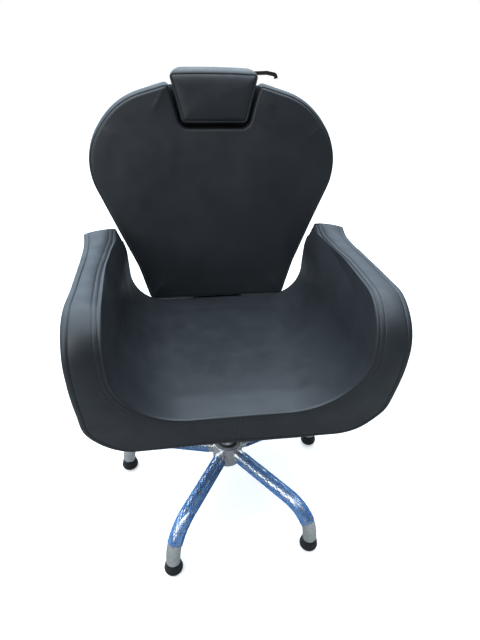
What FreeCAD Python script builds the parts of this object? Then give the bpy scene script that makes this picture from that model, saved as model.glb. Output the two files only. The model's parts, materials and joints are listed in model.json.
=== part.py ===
import FreeCAD, Part
import math
import os

# Threading chair: a bucket seat on a five-leg base with a gas lift, a reclining
# back held by a lockable strut, and a head rest that slides in a notch.
# Millimetres. +Z is up, the chair faces -Y, and the origin is on the floor
# under the swivel axis.

# Shared fits and helpers' lengths
running_clearance = 0.05
seat_clearance = 0.1
soft_gap = 0.3
cut_overrun = 60.0

# Base
leg_count = 5
rear_leg_heading_angle = 93.3
foot_circle_radius = 299.0
leg_diameter = 35.0
leg_wall = 1.6
leg_root_height = 136.5
leg_droop_angle = 1.6
leg_bend_radius = 80.0
leg_end_angle = 81.6
leg_end_height = 38.0
hub_diameter = 82.0
hub_bottom = 101.0
hub_top = 168.0
hub_edge_round = 3.0
hub_ring_diameter = 57.0
hub_ring_height = 4.0
hub_ring_round = 1.5
sleeve_start_radius = 52.0
sleeve_wall = 1.0
sleeve_end_angle = 60.0
glide_diameter = 42.0
glide_height = 40.0
glide_base_diameter = 27.0
glide_widest_height = 19.0
glide_crown_diameter = 24.0
glide_stem_length = 26.0
glide_seat_clearance = 0.6
glide_side_share = 0.82
glide_upper_share = 0.86
glide_rise_share = 0.42

# Gas lift
column_diameter = 50.0
column_wall = 2.0
column_bottom = 97.0
column_top = 292.0
column_floor_thickness = 4.0
bush_length = 52.0
bush_flange_height = 4.0
cylinder_diameter = 28.0
cylinder_wall = 2.0
cylinder_bottom = 152.0
cylinder_cavity_top = 347.0
cylinder_top = 385.0
cylinder_taper_start = 351.0
cylinder_taper_drop = 0.8
gland_length = 10.0
rod_diameter = 10.0
piston_bottom = 247.5
piston_length = 12.0
rod_collar_diameter = 24.0
rod_collar_height = 3.0
thrust_bearing_diameter = 34.0
thrust_bearing_height = 6.0
thrust_groove_depth = 1.2
thrust_groove_width = 1.6
rod_tail_length = 7.0
clip_diameter = 20.0
clip_thickness = 1.5
release_pin_diameter = 8.0
release_pin_length = 34.0
release_pin_lift = 6.0
release_pin_round = 1.0

# Seat tub
tub_front = -213.0
tub_rear = 296.0
tub_station_front = -275.0
tub_station_middle = -30.0
tub_station_rear = 330.0
tub_underside = 411.0
side_overrun_rear = 400.0
arm_far_rear_rise = 176.0
arm_shoulder_place = 40.0
arm_shoulder_rise = 49.0
arm_shoulder_radius = 1200.0
arm_front_top_place = -243.0
arm_front_top_rise = 35.0
arm_front_top_radius = 88.0
arm_bulge_place = -249.0
arm_bulge_drop = 116.0
arm_bulge_radius = 100.0
front_lap_radius = 150.0
tub_cap_rise = 48.0
pan_front_height = 485.0
pan_middle_height = 473.0
pan_rear_height = 451.0
inner_half_front = 235.0
inner_half_middle = 243.0
inner_half_rear = 246.0
inner_flare_front = 0.0
inner_flare_middle = 8.0
inner_flare_rear = 12.0
inner_corner_front = 130.0
inner_corner_middle = 115.0
inner_corner_rear = 100.0
outer_half_front = 310.0
outer_half_middle = 314.5
outer_half_rear = 314.0
outer_flare_front = 0.0
outer_flare_middle = 2.0
outer_flare_rear = 56.0
outer_corner_front = 76.0
outer_corner_middle = 84.0
outer_corner_rear = 150.0
shell_thickness = 12.0
shell_floor = 437.0
shell_half_front = 265.0
shell_half_middle = 272.0
shell_half_rear = 280.0
shell_flare_rear = 24.0
shell_corner = 135.0
band_depth = 18.0
rim_outer_round = 12.0
rim_inner_round = 6.0
rim_rear_round = 5.0
rear_band_depth = 10.0

# Seat board and mechanism plate
board_half_width = 120.0
board_front = -150.0
board_rear = 205.0
board_corner_radius = 20.0
board_edge_gap = 2.0
plate_length = 200.0
plate_width = 220.0
plate_thickness = 4.0
plate_corner_radius = 12.0
flange_depth = 26.0
flange_slot_width = 18.0
boss_diameter = 42.0
boss_bottom = 349.0
boss_rise = 1.0
rib_length = 34.0
rib_thickness = 4.0
bolt_spacing_x = 152.0
bolt_spacing_y = 152.0
bolt_diameter = 8.0
bolt_flats_width = 13.0
bolt_head_height = 5.0
bolt_clearance = 0.5
nut_barrel_diameter = 10.4
nut_flange_diameter = 20.0
nut_flange_height = 1.2

# Height lever
lever_rod_diameter = 10.0
lever_pivot_place = 45.0
lever_hub_diameter = 16.0
lever_hub_width = 16.0
lever_pin_diameter = 6.0
lever_ear_thickness = 3.0
lever_ear_drop = 9.0
lever_ear_half_width = 8.0
lever_inner_reach = 9.0
lever_contact_gap = 0.3
lever_bend_place = 72.0
lever_tip_place = 232.0
lever_tip_drop = 20.3
lever_bend_radius = 60.0
grip_length = 72.0
grip_diameter = 17.0
grip_end_diameter = 21.0
grip_end_cover = 5.0
grip_end_round = 3.0

# Recline hinge
pivot_place = 330.0
pivot_height = 430.0
pivot_pin_diameter = 12.0
pivot_head_diameter = 20.0
pivot_head_height = 5.0
pivot_head_round = 1.5
pivot_washer_height = 1.5
pivot_clip_diameter = 18.0
pivot_clip_height = 3.0
ear_half_gap = 62.0
ear_thickness = 6.0
ear_eye_radius = 15.0
ear_front = 104.0
ear_depth = 24.0
ear_rear_foot = 306.0
ear_tub_clearance = 5.0
ear_flange_width = 30.0
ear_flange_rear = 200.0
hinge_bolt_front_place = 124.0
hinge_bolt_rear_place = 180.0
hinge_bridge_length = 46.0
hinge_tube_diameter = 32.0
hinge_tube_wall = 3.0
arm_thickness = 5.0
arm_eye_radius = 16.0
crank_length = 60.0
crank_rest_angle = 20.0
crank_eye_radius = 12.0
arm_flange_width = 26.0
arm_top = 190.0
arm_web_depth = 24.0
arm_web_top_depth = 12.0
arm_foot = 12.0
arm_corner_round = 8.0
arm_bolt_low = 50.0
arm_bolt_pitch = 55.0
arm_bolt_count = 3
arm_bolt_diameter = 6.0
arm_bolt_flats_width = 10.0
arm_bolt_head_height = 4.0
arm_bolt_length = 14.0
crank_pin_diameter = 10.0
crank_pin_head_diameter = 16.0
crank_pin_head_height = 4.0

# Recline strut
strut_anchor_place = 118.0
strut_tube_diameter = 24.0
strut_tube_wall = 2.0
strut_tube_start = 138.0
strut_tube_end = 264.0
strut_neck_diameter = 14.0
strut_rod_inner_end = 196.0
strut_plug_length = 12.0
strut_gland_length = 10.0
strut_piston_length = 10.0
strut_pin_diameter = 10.0
strut_pin_head_diameter = 16.0
strut_pin_head_height = 3.0
strut_eye_width = 16.0
strut_eye_diameter = 24.0
strut_cheek_thickness = 4.0
strut_cheek_gap = 0.5
strut_cheek_half_length = 14.0
strut_cheek_drop = 13.0
strut_head_width = 22.0
strut_head_height = 28.0
strut_head_front = 20.0
strut_head_rear = 18.0
strut_eye_play = 2.3
strut_head_round = 4.0
trip_pivot_rise = 8.0
trip_pivot_back = 13.0
trip_side_gap = 0.5
trip_thickness = 4.0
trip_pin_diameter = 5.0
trip_eye_radius = 6.0
trip_reach = 24.0
trip_tip_radius = 5.0
trip_nose_gap = 2.0
trip_nose_thickness = 4.0
trip_nose_drop = 9.0

# Back rest, in the leaning plane of its face: x across, z up the face, y through it
back_foot_place = 288.0
back_foot_height = 468.0
back_lean = 9.0
back_pad_depth = 55.0
back_foot_half = 196.0
back_foot_drop = 8.0
back_foot_round = 18.0
waist_half = 224.0
waist_height = 92.0
waist_radius = 225.0
side_half = 346.0
side_height = 386.0
side_radius = 165.0
crest_half = 247.0
crest_height = 521.0
crest_radius = 195.0
shoulder_half = 124.0
shoulder_height = 557.0
shoulder_round = 12.0
notch_floor_half = 82.0
notch_floor = 455.0
notch_round = 24.0
crease_radius = 4.0
face_seam_inset = 8.0
face_seam_depth = 7.0
front_round_inset = 2.0
front_round_depth = 14.0
side_bulge_depth = 30.0
rear_draw_in = 5.0
crown_height = 10.0
crown_centre_height = 165.0
crown_rise_shares = (0.55, 0.9, 1.0)
crown_spread_shares = (0.86, 0.6, 0.3)
board_thickness = 12.0
board_inset = 6.0
rear_pad_depth = 16.0
rear_pad_inset = 9.0
rear_pad_round_inset = 13.0
rear_pad_round_depth = 10.0
rear_pad_draw_in = 26.0
rear_window_gap = 3.0
rear_window_rise = 26.0
rear_window_round = 24.0
top_window_gap = 3.0

# Head rest
head_face_proud = 8.0
head_foot = 467.0
head_foot_half = 83.0
head_top = 583.0
head_top_half = 115.0
head_corner_round = 14.0
head_rear_taper = 11.0
head_rear_rise = 9.0
head_seam_inset = 5.0
head_seam_depth = 4.0
head_bulge_share = 0.35
head_crown = 7.0
head_crown_shares = (0.6, 0.9, 1.0)
head_spread_shares = (0.84, 0.56, 0.25)
head_board_thickness = 8.0
head_board_inset = 8.0
bar_width = 40.0
bar_thickness = 5.0
bar_rear_gap = 2.0
bar_top = 545.0
bar_bottom = 318.0
bar_corner_round = 6.0
guide_wall = 1.8
guide_top = 450.0
guide_bottom = 330.0
guide_tab_width = 14.0
guide_pocket_gap = 1.0
head_screw_diameter = 5.0
head_screw_head_diameter = 10.0
head_screw_head_height = 1.4
head_screw_height = 496.0
head_screw_pitch = 26.0
head_screw_length = 6.0

# Recline lever and its cable
handle_pivot_place = 80.0
handle_pivot_height = 579.0
handle_bracket_left = 42.0
handle_bracket_right = 98.0
handle_bracket_foot = 500.0
handle_bracket_rise = 11.0
handle_bracket_round = 10.0
handle_bracket_thickness = 3.0
handle_side_gap = 0.5
handle_width = 9.0
handle_thickness = 4.0
handle_tail = 22.0
handle_rise = 3.0
handle_crest = 62.0
handle_tip = 85.0
handle_shoulder_drop = 1.0
handle_tip_drop = 10.0
handle_bend_radius = 6.0
handle_hub_diameter = 18.0
handle_pin_diameter = 8.0
handle_pin_head = 13.0
handle_pin_head_height = 3.0
bracket_screw_rise = 14.0
bracket_screw_pitch = 24.0
bracket_screw_inset = 14.0
cable_lane = 58.0
cable_diameter = 5.0
cable_groove_clearance = 1.5
cable_top_height = 539.0
cable_clamp_length = 12.0
cable_clamp_gap = 0.1
cable_turn_height = 150.0
cable_low_height = 20.0
cable_low_place = 40.0
cable_foot_place = 24.0
cable_foot_height = -40.0
cable_foot_depth = 103.0
cable_bend_radius = 60.0


def vec(x, y, z):
    return FreeCAD.Vector(x, y, z)


def line(start, end):
    return Part.LineSegment(start, end).toShape()


def arc(start, middle, end):
    return Part.Arc(start, middle, end).toShape()


def rod_between(radius, start, end):
    axis = end.sub(start)
    return Part.makeCylinder(radius, axis.Length, start, axis)


def tube_on_axis(outer_radius, inner_radius, bottom, top):
    outer = Part.makeCylinder(outer_radius, top - bottom, vec(0, 0, bottom))
    bore_start = vec(0, 0, bottom - cut_overrun)
    bore = Part.makeCylinder(inner_radius, top - bottom + 2 * cut_overrun, bore_start)
    return outer.cut(bore)


def box_between(x_low, x_high, y_low, y_high, z_low, z_high):
    corner = vec(x_low, y_low, z_low)
    return Part.makeBox(x_high - x_low, y_high - y_low, z_high - z_low, corner)


def revolve_profile(edges):
    face = Part.Face(Part.Wire(edges))
    return face.revolve(vec(0, 0, 0), vec(0, 0, 1), 360)


def rounded_outline(corners, radii, place):
    """A closed wire through 2-D corners, each rounded by its radius; place lifts a 2-D point to 3-D."""
    count = len(corners)
    ends = []
    for index in range(count):
        corner = FreeCAD.Vector(*corners[index], 0)
        before = FreeCAD.Vector(*corners[index - 1], 0).sub(corner)
        after = FreeCAD.Vector(*corners[(index + 1) % count], 0).sub(corner)
        radius = radii[index]
        if radius == 0:
            ends.append((corner, None, corner))
            continue
        before.normalize()
        after.normalize()
        half_angle = before.getAngle(after) / 2
        reach = radius / math.tan(half_angle)
        bisector = before.add(after)
        bisector.normalize()
        centre = corner.add(bisector * (radius / math.sin(half_angle)))
        middle = centre.sub(bisector * radius)
        ends.append((corner.add(before * reach), middle, corner.add(after * reach)))
    edges = []
    for index in range(count):
        start, middle, end = ends[index]
        if middle is not None:
            edges.append(arc(place(start), place(middle), place(end)))
        next_start = ends[(index + 1) % count][0]
        edges.append(line(place(end), place(next_start)))
    return Part.Wire(edges)


def on_side(x):
    return lambda point: vec(x, point.x, point.y)


def on_front(y):
    return lambda point: vec(point.x, y, point.y)


def on_floor(z):
    return lambda point: vec(point.x, point.y, z)


def plate_on_side(corners, radii, x_low, x_high):
    wire = rounded_outline(corners, radii, on_side(x_low))
    return Part.Face(wire).extrude(vec(x_high - x_low, 0, 0))


def mirrored_x(shape):
    return shape.mirror(vec(0, 0, 0), vec(1, 0, 0))


def group(shapes):
    return Part.makeCompound(shapes)


def sweep_round(path_edges, radius):
    path = Part.Wire(path_edges)
    start = path_edges[0].Vertexes[0].Point
    direction = path_edges[0].Vertexes[1].Point.sub(start)
    circle = Part.Wire(Part.makeCircle(radius, start, direction))
    return path.makePipeShell([circle], True, False)


# Base: legs, sleeves, glides and hub
def slope_vector(slope):
    angle = math.radians(slope)
    return vec(math.cos(angle), 0, -math.sin(angle))


def leg_bend_size():
    """How far down and how far out the bend takes the leg."""
    droop = math.radians(leg_droop_angle)
    slope = math.radians(leg_end_angle)
    drop = leg_bend_radius * (math.cos(droop) - math.cos(slope))
    return drop, leg_bend_radius * (math.sin(slope) - math.sin(droop))


def leg_path(start_radius, end_slope, tail_length):
    """The centreline of a leg in the XZ plane: a near level run, a bend, and a short tail."""
    run = slope_vector(leg_droop_angle)
    bend_reach = leg_bend_size()[1]
    tail_reach = leg_tail_length() * slope_vector(leg_end_angle).x
    bend_start_radius = foot_circle_radius - tail_reach - bend_reach
    bend_start = vec(bend_start_radius, 0, leg_root_height + run.z / run.x * bend_start_radius)
    start = vec(start_radius, 0, leg_root_height + run.z / run.x * start_radius)
    centre = bend_start.add(vec(run.z, 0, -run.x) * leg_bend_radius)
    end_turn = math.radians(end_slope)
    middle_turn = (math.radians(leg_droop_angle) + end_turn) / 2
    middle = centre.add(vec(math.sin(middle_turn), 0, math.cos(middle_turn)) * leg_bend_radius)
    end = centre.add(vec(math.sin(end_turn), 0, math.cos(end_turn)) * leg_bend_radius)
    edges = [line(start, bend_start), arc(bend_start, middle, end)]
    if tail_length > 0:
        edges.append(line(end, end.add(slope_vector(end_slope) * tail_length)))
    return edges


def leg_tail_length():
    """The straight tail that takes the leg from its bend down to the end height."""
    run = slope_vector(leg_droop_angle)
    tail = slope_vector(leg_end_angle)
    bend_drop, bend_reach = leg_bend_size()
    drop_slope = run.z / run.x
    level_end = leg_root_height + drop_slope * (foot_circle_radius - bend_reach) - bend_drop
    return (level_end - leg_end_height) / (-tail.z + drop_slope * tail.x)


def leg_end_point():
    last_edge = leg_path(0, leg_end_angle, leg_tail_length())[-1]
    return last_edge.Vertexes[-1].Point


def make_leg():
    edges = leg_path(0, leg_end_angle, leg_tail_length())
    outer = sweep_round(edges, leg_diameter / 2)
    inner = sweep_round(edges, leg_diameter / 2 - leg_wall)
    hub_cut = Part.makeCylinder(hub_diameter / 2 + running_clearance, hub_top, vec(0, 0, 0))
    return outer.cut(inner).cut(hub_cut)


def make_sleeve():
    edges = leg_path(sleeve_start_radius, sleeve_end_angle, 0)
    outer = sweep_round(edges, leg_diameter / 2 + seat_clearance + sleeve_wall)
    inner = sweep_round(edges, leg_diameter / 2 + seat_clearance)
    return outer.cut(inner)


def make_glide():
    base = glide_base_diameter / 2
    widest = glide_diameter / 2
    crown = glide_crown_diameter / 2
    bottom_centre = vec(0, 0, 0)
    bottom_edge = vec(base, 0, 0)
    low_side = vec(base + (widest - base) * glide_side_share, 0, glide_widest_height * (1 - glide_side_share))
    belly = vec(widest, 0, glide_widest_height)
    upper_rise = glide_height - glide_widest_height
    shoulder_height_above = glide_widest_height + upper_rise * glide_rise_share
    high_side = vec(crown + (widest - crown) * glide_upper_share, 0, shoulder_height_above)
    crown_edge = vec(crown, 0, glide_height)
    crown_centre = vec(0, 0, glide_height)
    edges = [
        line(bottom_centre, bottom_edge),
        arc(bottom_edge, low_side, belly),
        arc(belly, high_side, crown_edge),
        line(crown_edge, crown_centre),
        line(crown_centre, bottom_centre),
    ]
    dome = revolve_profile(edges)
    dome.translate(vec(foot_circle_radius, 0, 0))
    tail = slope_vector(leg_end_angle)
    end = leg_end_point()
    socket = rod_between(leg_diameter / 2 + glide_seat_clearance, end, end.sub(tail * cut_overrun))
    stem_radius = leg_diameter / 2 - leg_wall - seat_clearance
    stem_foot = end.add(tail * glide_seat_clearance)
    stem = rod_between(stem_radius, stem_foot, end.sub(tail * glide_stem_length))
    return dome.cut(socket).fuse(stem).removeSplitter()


def around_base(shape, index):
    turned = shape.copy()
    heading = rear_leg_heading_angle + index * 360 / leg_count
    turned.rotate(vec(0, 0, 0), vec(0, 0, 1), heading)
    return turned


def make_hub():
    hub = tube_on_axis(hub_diameter / 2, column_diameter / 2 + seat_clearance, hub_bottom, hub_top)
    rims = [edge for edge in hub.Edges if abs(edge.Length - math.pi * hub_diameter) < seat_clearance]
    return hub.makeFillet(hub_edge_round, rims)


def make_hub_ring():
    top = hub_top + hub_ring_height
    ring = tube_on_axis(hub_ring_diameter / 2, column_diameter / 2 + seat_clearance, hub_top, top)
    rims = [
        edge
        for edge in ring.Edges
        if abs(edge.Length - math.pi * hub_ring_diameter) < seat_clearance
        and abs(edge.CenterOfMass.z - top) < seat_clearance
    ]
    return ring.makeFillet(hub_ring_round, rims)


# Gas lift
def make_column_tube():
    tube = tube_on_axis(column_diameter / 2, column_diameter / 2 - column_wall, column_bottom, column_top)
    floor_radius = column_diameter / 2 - column_wall / 2
    floor_top = column_bottom + column_floor_thickness
    floor = tube_on_axis(floor_radius, rod_diameter / 2 + seat_clearance, column_bottom, floor_top)
    return tube.fuse(floor).removeSplitter()


def make_guide_bush():
    bore = cylinder_diameter / 2 + running_clearance
    body_radius = column_diameter / 2 - column_wall - running_clearance
    body = tube_on_axis(body_radius, bore, column_top - bush_length, column_top)
    flange = tube_on_axis(column_diameter / 2, bore, column_top, column_top + bush_flange_height)
    return body.fuse(flange).removeSplitter()


def make_thrust_bearing():
    bottom = column_bottom + column_floor_thickness
    top = bottom + thrust_bearing_height
    outer_radius = thrust_bearing_diameter / 2
    ring = tube_on_axis(outer_radius, rod_diameter / 2 + seat_clearance, bottom, top)
    middle = (bottom + top) / 2
    half_groove = thrust_groove_width / 2
    groove_floor = outer_radius - thrust_groove_depth
    groove_radius = outer_radius + seat_clearance
    groove = tube_on_axis(groove_radius, groove_floor, middle - half_groove, middle + half_groove)
    return ring.cut(groove)


def make_piston_rod():
    radius = rod_diameter / 2
    bearing_top = column_bottom + column_floor_thickness + thrust_bearing_height
    collar_bottom = bearing_top + running_clearance
    rod_foot = vec(0, 0, column_bottom - rod_tail_length)
    rod = rod_between(radius, rod_foot, vec(0, 0, piston_bottom + piston_length))
    collar_top = vec(0, 0, collar_bottom + rod_collar_height)
    collar = rod_between(rod_collar_diameter / 2, vec(0, 0, collar_bottom), collar_top)
    piston_radius = cylinder_diameter / 2 - cylinder_wall - running_clearance
    piston = rod_between(piston_radius, vec(0, 0, piston_bottom), vec(0, 0, piston_bottom + piston_length))
    groove_top = column_bottom - seat_clearance
    groove = tube_on_axis(rod_diameter, radius - clip_thickness / 2, groove_top - clip_thickness, groove_top)
    return rod.fuse([collar, piston]).cut(groove).removeSplitter()


def make_rod_clip():
    top = column_bottom - seat_clearance
    inner = rod_diameter / 2 - clip_thickness / 2 + running_clearance
    ring = tube_on_axis(clip_diameter / 2, inner, top - clip_thickness, top)
    mouth = box_between(-inner, inner, 0, clip_diameter, top - 2 * clip_thickness, top + clip_thickness)
    return ring.cut(mouth)


def make_gas_cylinder():
    radius = cylinder_diameter / 2
    inner = radius - cylinder_wall
    top_radius = radius - cylinder_taper_drop
    corners = [
        vec(inner, 0, cylinder_bottom + gland_length),
        vec(rod_diameter / 2 + running_clearance, 0, cylinder_bottom + gland_length),
        vec(rod_diameter / 2 + running_clearance, 0, cylinder_bottom),
        vec(radius, 0, cylinder_bottom),
        vec(radius, 0, cylinder_taper_start),
        vec(top_radius, 0, cylinder_top),
        vec(0, 0, cylinder_top),
        vec(0, 0, cylinder_cavity_top),
        vec(inner, 0, cylinder_cavity_top),
    ]
    edges = [line(corners[index - 1], corners[index]) for index in range(len(corners))]
    cylinder = revolve_profile(edges)
    pin_foot = cylinder_top - release_pin_length
    pin_hole = rod_between(
        release_pin_diameter / 2 + running_clearance,
        vec(0, 0, pin_foot),
        vec(0, 0, cylinder_top + cut_overrun),
    )
    return cylinder.cut(pin_hole)


def make_release_pin():
    top = cylinder_top + release_pin_lift
    pin = rod_between(release_pin_diameter / 2, vec(0, 0, top - release_pin_length), vec(0, 0, top))
    circles = [edge for edge in pin.Edges if len(edge.Vertexes) == 1]
    rims = [edge for edge in circles if abs(edge.CenterOfMass.z - top) < seat_clearance]
    return pin.makeFillet(release_pin_round, rims)


# Seat tub
def arm_far_rear_height():
    return pan_front_height + arm_far_rear_rise


def arm_shoulder_height():
    return arm_far_rear_height() + arm_shoulder_rise


def arm_front_top_height():
    return arm_shoulder_height() + arm_front_top_rise


def tub_cap_height():
    return arm_front_top_height() + tub_cap_rise


tub_stations = (tub_station_front, tub_station_middle, tub_station_rear)


def u_layer(inner_sizes, outer_sizes):
    """A U-shaped layer lofted along the chair; each size row is half width, flare, floor and corner."""
    wires = []
    for station, inner, outer in zip(tub_stations, inner_sizes, outer_sizes):
        inner_half, inner_flare, inner_floor, inner_corner = inner
        outer_half, outer_flare, outer_floor, outer_radius = outer
        corners = [
            (-outer_half - outer_flare, tub_cap_height()),
            (-outer_half, outer_floor),
            (outer_half, outer_floor),
            (outer_half + outer_flare, tub_cap_height()),
            (inner_half + inner_flare, tub_cap_height()),
            (inner_half, inner_floor),
            (-inner_half, inner_floor),
            (-inner_half - inner_flare, tub_cap_height()),
        ]
        radii = [0, outer_radius, outer_radius, 0, 0, inner_corner, inner_corner, 0]
        wires.append(rounded_outline(corners, radii, on_front(station)))
    return Part.makeLoft(wires, True, False)


def tub_skin_sizes():
    inner = [
        (inner_half_front, inner_flare_front, pan_front_height, inner_corner_front),
        (inner_half_middle, inner_flare_middle, pan_middle_height, inner_corner_middle),
        (inner_half_rear, inner_flare_rear, pan_rear_height, inner_corner_rear),
    ]
    outer = [
        (outer_half_front, outer_flare_front, tub_underside, outer_corner_front),
        (outer_half_middle, outer_flare_middle, tub_underside, outer_corner_middle),
        (outer_half_rear, outer_flare_rear, tub_underside, outer_corner_rear),
    ]
    return inner, outer


def shell_sizes(offset):
    """The shell's surface at an offset outwards from its inner face."""
    halves = (shell_half_front, shell_half_middle, shell_half_rear)
    flares = (0, 0, shell_flare_rear)
    floor = shell_floor - offset
    return [(half + offset, flare, floor, shell_corner + offset) for half, flare in zip(halves, flares)]


def side_profile(inset):
    """The arm and front outline seen from the side, moved inwards by an inset, as a tool across the chair."""
    corners = [
        (side_overrun_rear, tub_underside - cut_overrun),
        (side_overrun_rear, arm_far_rear_height()),
        (arm_shoulder_place, arm_shoulder_height()),
        (arm_front_top_place, arm_front_top_height()),
        (arm_bulge_place, arm_front_top_height() - arm_bulge_drop),
        (tub_front, pan_front_height),
        (tub_front, tub_underside - cut_overrun),
    ]
    radii = [0, 0, arm_shoulder_radius, arm_front_top_radius, arm_bulge_radius, front_lap_radius, 0]
    wire = rounded_outline(corners, radii, on_side(-side_overrun_rear))
    if inset > 0:
        wire = wire.makeOffset2D(-inset)
    return Part.Face(wire).extrude(vec(2 * side_overrun_rear, 0, 0))


def behind(y):
    far = side_overrun_rear + cut_overrun
    return box_between(-far, far, y, far + cut_overrun, 0, 2 * tub_cap_height())


def board_window(gap):
    wire = rounded_outline(
        [
            (-board_half_width - gap, board_front - gap),
            (board_half_width + gap, board_front - gap),
            (board_half_width + gap, board_rear + gap),
            (-board_half_width - gap, board_rear + gap),
        ],
        [board_corner_radius] * 4,
        on_floor(tub_underside),
    )
    depth = shell_floor - shell_thickness - soft_gap - tub_underside
    return Part.Face(wire).extrude(vec(0, 0, depth))


def turned_outwards(face):
    """Whether a skin face looks away from the bucket's centre line."""
    u_low, u_high, v_low, v_high = face.ParameterRange
    u = (u_low + u_high) / 2
    v = (v_low + v_high) / 2
    middle = face.valueAt(u, v)
    spoke = vec(middle.x, 0, middle.z - arm_far_rear_height())
    return face.normalAt(u, v).dot(spoke) > 0


def rim_edges(solid, outer_side):
    """The edges where the lofted outer or inner skin meets the side profile's cut."""
    rims = []
    for edge in solid.Edges:
        faces = solid.ancestorsOfType(edge, Part.Face)
        skins = [face for face in faces if isinstance(face.Surface, Part.BSplineSurface)]
        at_rear = edge.BoundBox.YMin > tub_rear - seat_clearance
        if len(faces) != 2 or len(skins) != 1 or at_rear:
            continue
        if turned_outwards(skins[0]) == outer_side:
            rims.append(edge)
    return rims


def make_tub_form():
    """The whole upholstered tub, with its rims rounded."""
    inner_skin, outer_skin = tub_skin_sizes()
    tub = u_layer(inner_skin, outer_skin).common(side_profile(0)).cut(behind(tub_rear))
    tub = tub.makeFillet(rim_outer_round, rim_edges(tub, True))
    tub = tub.makeFillet(rim_inner_round, rim_edges(tub, False))
    rear_edges = [edge for edge in tub.Edges if edge.BoundBox.YMin > tub_rear - seat_clearance]
    return tub.makeFillet(rim_rear_round, rear_edges)


def make_tub_pieces():
    inner_skin, outer_skin = tub_skin_sizes()
    full = make_tub_form()
    core_tool = side_profile(band_depth + soft_gap)
    rear_face = tub_rear - rear_band_depth
    core_rear = behind(rear_face - soft_gap)
    front_band = full.cut(side_profile(band_depth))
    rear_band = full.common(core_tool).common(behind(rear_face))
    inner_pad = u_layer(inner_skin, shell_sizes(-soft_gap)).common(core_tool).cut(core_rear)
    shell = u_layer(shell_sizes(0), shell_sizes(shell_thickness)).common(core_tool).cut(core_rear)
    outer_pad = u_layer(shell_sizes(shell_thickness + soft_gap), outer_skin).common(core_tool).cut(core_rear)
    outer_pad = outer_pad.cut(board_window(board_edge_gap))
    return {
        "tub_front_band": front_band,
        "tub_rear_band": rear_band,
        "tub_inner_pad": inner_pad,
        "tub_shell": shell,
        "tub_outer_pad": outer_pad,
    }


# Seat board, mechanism plate and fasteners
def four_places(half_x, y_low, y_high):
    return [(side * half_x, y) for side in (-1, 1) for y in (y_low, y_high)]


def plate_bolt_places():
    return four_places(bolt_spacing_x / 2, -bolt_spacing_y / 2, bolt_spacing_y / 2)


def hinge_bolt_places():
    half_x = ear_half_gap + ear_thickness + ear_flange_width / 2
    return four_places(half_x, hinge_bolt_front_place, hinge_bolt_rear_place)


def board_top():
    return shell_floor - shell_thickness - soft_gap


def make_seat_board():
    board = board_window(0)
    for x, y in plate_bolt_places() + hinge_bolt_places():
        high = vec(x, y, tub_cap_height())
        barrel = rod_between(nut_barrel_diameter / 2 + seat_clearance, vec(x, y, 0), high)
        flange_seat = vec(x, y, board_top() - nut_flange_height)
        flange = rod_between(nut_flange_diameter / 2 + seat_clearance, flange_seat, high)
        board = board.cut(barrel).cut(flange)
    return board


def make_tee_nuts():
    nuts = []
    for x, y in plate_bolt_places() + hinge_bolt_places():
        top = vec(x, y, board_top())
        flange_foot = vec(x, y, board_top() - nut_flange_height)
        barrel_foot = vec(x, y, tub_underside + bolt_clearance)
        nut = rod_between(nut_barrel_diameter / 2, barrel_foot, top)
        nut = nut.fuse(rod_between(nut_flange_diameter / 2, flange_foot, top))
        bore = rod_between(bolt_diameter / 2 + running_clearance, vec(x, y, 0), vec(x, y, tub_cap_height()))
        nuts.append(nut.cut(bore).removeSplitter())
    return group(nuts)


def hex_between(flats_width, start, end):
    """A hexagonal prism along the line from start to end."""
    radius = flats_width / math.sqrt(3)
    corners = []
    for index in range(7):
        angle = math.radians(60 * index)
        corners.append(vec(radius * math.cos(angle), radius * math.sin(angle), 0))
    axis = end.sub(start)
    prism = Part.Face(Part.makePolygon(corners)).extrude(vec(0, 0, axis.Length))
    prism.Placement = FreeCAD.Placement(start, FreeCAD.Rotation(vec(0, 0, 1), axis))
    return prism


def make_bolt(x, y, seat_height):
    head = hex_between(bolt_flats_width, vec(x, y, seat_height), vec(x, y, seat_height - bolt_head_height))
    shank_top = board_top() - nut_flange_height
    shank = rod_between(bolt_diameter / 2, vec(x, y, seat_height), vec(x, y, shank_top))
    return head.fuse(shank).removeSplitter()


def make_seat_bolts():
    return group([make_bolt(x, y, plate_bottom()) for x, y in plate_bolt_places() + hinge_bolt_places()])


def plate_bottom():
    return tub_underside - plate_thickness


def bolt_hole(x, y):
    foot = vec(x, y, plate_bottom() - cut_overrun)
    return rod_between(bolt_diameter / 2 + bolt_clearance, foot, vec(x, y, tub_underside + cut_overrun))


def lever_axis_height():
    return cylinder_top + release_pin_lift + lever_contact_gap + lever_rod_diameter / 2


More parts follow.
